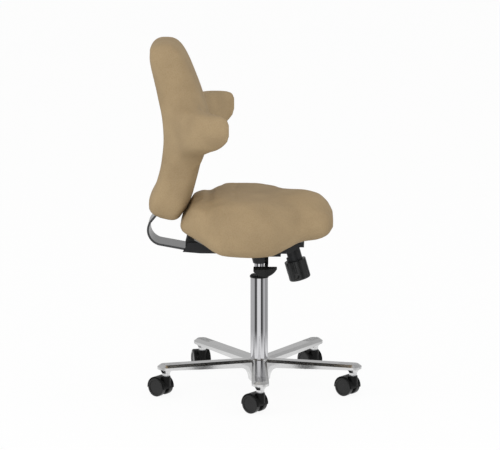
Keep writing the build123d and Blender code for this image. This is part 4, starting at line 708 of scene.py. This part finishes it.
def makeBack():
    back = meshPiece("backUpholstery", [panelRings(), wingRings(1), wingRings(-1)])
    evenSkin(back, backrest["voxel"])
    points = readPoints(back.data)
    held = points[:, 2] < (backrest["foot"] + backrest["heldRise"]) * mm
    # the fold weight is a bell curve of the distance from the panel's side, over the wings' height
    fromSide = (np.abs(points[:, 1]) / mm - backrest["rootAt"]) / backrest["rootWide"]
    fromMid = np.abs(points[:, 2] / mm - backrest["wingMid"] + backrest["rootDrop"]) - backrest["rootHalf"]
    fromMid = np.maximum(fromMid, 0.0) / backrest["rootWide"]
    upholster(back, backrest, np.exp(-fromSide ** 2 - fromMid ** 2), held)
    return back


back = makeBack()
print("back upholstered", len(back.data.polygons), "faces")


# Studio: a pale floor without a visible end and a tent of three large soft lamps, by the camera and to either side.
# Metal mirrors a room that is white by the camera, grey behind the chair and has two dark curtains between.
studio = {
    "floor": "#F2F2F1", "floorHalf": 40.0, "floorGlow": 0.92,
    # brightness the floor glows with in the base's metal, a painted reflection; m from the middle where it ends and
    # where the room takes over
    "nearReflectionGlow": 0.86, "nearTo": 0.50, "roomFrom": 0.75,
    "sky": 0.82,              # even light from all round
    # degrees round from the camera's side, height and power of each lamp
    "lamps": {"cameraLamp": (-4.0, 2.5, 40.5), "rearLamp": (-74.0, 2.5, 38.0), "frontLamp": (78.0, 2.5, 14.0)},
    "lampAway": 4.2, "lampSize": (3.0, 2.4), "lampAim": (0.0, 0.0, 0.55),
    "glint": (28.0, 3.4, 9.0), "glintSize": (0.5, 0.5),   # a bare lamp, the only one that shows in glossy edges
    # degrees round from the camera's side, brightness of the room there
    "room": [(-180, 0.50), (-100, 0.52), (-68, 0.50), (-50, 0.05), (-34, 0.04), (-20, 0.86), (18, 0.86),
             (25, 0.06), (42, 0.06), (56, 0.42), (68, 0.64), (92, 0.33), (130, 0.42), (180, 0.50)],
}


# The large lamps light the cushions but do not show in the metal, which mirrors the room instead
def addLamp(name, degrees, height, power, size, mirrored):
    data = bpy.data.lights.new(name, "AREA")
    data.shape = "RECTANGLE"
    data.size, data.size_y = size
    data.energy = power
    lamp = bpy.data.objects.new(name, data)
    turn = math.radians(degrees)
    place = np.array((math.sin(turn) * studio["lampAway"], -math.cos(turn) * studio["lampAway"], height))
    ahead = np.array(studio["lampAim"]) - place
    lamp.location = place
    lamp.rotation_euler = (math.atan2(math.hypot(ahead[0], ahead[1]), -ahead[2]), 0.0,
                           math.atan2(ahead[1], ahead[0]) - math.pi / 2)
    lamp.visible_glossy = mirrored
    bpy.context.scene.collection.objects.link(lamp)


# Brightness around the room by the angle from the camera's side, with the curtains as its darkest steps
def roomRamp(tree, source, output):
    parts = addNode(tree, "ShaderNodeSeparateXYZ", links={0: (source, output)})
    behind = addNode(tree, "ShaderNodeMath", {"operation": "MULTIPLY"}, {1: -1.0}, {0: (parts, "Y")})
    angle = addNode(tree, "ShaderNodeMath", {"operation": "ARCTAN2"}, links={0: (parts, "X"), 1: (behind, 0)})
    turn = addNode(tree, "ShaderNodeMapRange", sockets={"From Min": -math.pi, "From Max": math.pi},
                   links={"Value": (angle, 0)})
    stops = [(degrees / 360.0 + 0.5, (level, level, level, 1.0)) for degrees, level in studio["room"]]
    return addNode(tree, "ShaderNodeValToRGB", links={"Fac": (turn, "Result")}, stops=stops)


# The camera sees the floor nearly white with the chair's shadow on it; in the metal the floor is a painted
# reflection, evenly bright near the chair without its shadow and the room's brightness further out
def makeFloor():
    s = studio["floorHalf"]
    mesh = bpy.data.meshes.new("paleFloor")
    mesh.from_pydata([(-s, -s, 0), (s, -s, 0), (s, s, 0), (-s, s, 0)], [], [(0, 1, 2, 3)])
    floor = bpy.data.objects.new("paleFloor", mesh)
    bpy.context.scene.collection.objects.link(floor)
    material, tree, output, place = newMaterial("paleStudioFloor")
    ray = addNode(tree, "ShaderNodeLightPath")
    glow = addNode(tree, "ShaderNodeMath", {"operation": "MULTIPLY"}, {1: studio["floorGlow"]},
                   {0: (ray, "Is Camera Ray")})
    matt = addNode(tree, "ShaderNodeBsdfDiffuse", sockets={"Color": linear(studio["floor"])})
    white = addNode(tree, "ShaderNodeEmission", sockets={"Color": (1, 1, 1, 1), "Strength": 1.0})
    seen = addNode(tree, "ShaderNodeMixShader", links={0: (glow, 0), 1: (matt, 0), 2: (white, 0)})
    # painted reflection: glossy rays see the floor glow with a set brightness instead of its lit surface
    away = addNode(tree, "ShaderNodeVectorMath", {"operation": "LENGTH"}, links={0: (place, "Object")})
    far = addNode(tree, "ShaderNodeMapRange",
                  sockets={"From Min": studio["nearTo"], "From Max": studio["roomFrom"]},
                  links={"Value": (away, "Value")})
    ramp = roomRamp(tree, place, "Object")
    mirrored = addNode(tree, "ShaderNodeMix", {"data_type": "RGBA"}, {6: (*[studio["nearReflectionGlow"]] * 3, 1.0)},
                       {0: (far, "Result"), 7: (ramp, "Color")})
    room = addNode(tree, "ShaderNodeEmission", sockets={"Strength": 1.0}, links={"Color": (mirrored, 2)})
    both = addNode(tree, "ShaderNodeMixShader", links={0: (ray, "Is Glossy Ray"), 1: (seen, 0), 2: (room, 0)})
    tree.links.new(both.outputs[0], output.inputs[0])
    mesh.materials.append(material)


# The camera sees white, the metal sees the room, and everything else is lit by an even sky
def makeRoom():
    world = bpy.data.worlds.new("studioRoom")
    bpy.context.scene.world = world
    world.use_nodes = True
    tree = world.node_tree
    tree.nodes.clear()
    output = addNode(tree, "ShaderNodeOutputWorld")
    ray = addNode(tree, "ShaderNodeLightPath")
    place = addNode(tree, "ShaderNodeTexCoord")
    ramp = roomRamp(tree, place, "Generated")
    mirrored = addNode(tree, "ShaderNodeBackground", sockets={"Strength": 1.0}, links={"Color": (ramp, "Color")})
    sky = addNode(tree, "ShaderNodeBackground", sockets={"Color": (1, 1, 1, 1), "Strength": studio["sky"]})
    white = addNode(tree, "ShaderNodeBackground", sockets={"Color": (1, 1, 1, 1), "Strength": 1.0})
    seen = addNode(tree, "ShaderNodeMath", {"operation": "MAXIMUM"},
                   links={0: (ray, "Is Camera Ray"), 1: (ray, "Is Transmission Ray")})
    lit = addNode(tree, "ShaderNodeMixShader", links={0: (ray, "Is Glossy Ray"), 1: (sky, 0), 2: (mirrored, 0)})
    both = addNode(tree, "ShaderNodeMixShader", links={0: (seen, 0), 1: (lit, 0), 2: (white, 0)})
    tree.links.new(both.outputs[0], output.inputs[0])


makeFloor()
makeRoom()
for name, (degrees, height, power) in studio["lamps"].items():
    addLamp(name, degrees, height, power, studio["lampSize"], False)
addLamp("glintLamp", *studio["glint"], studio["glintSize"], True)
print("studio set")
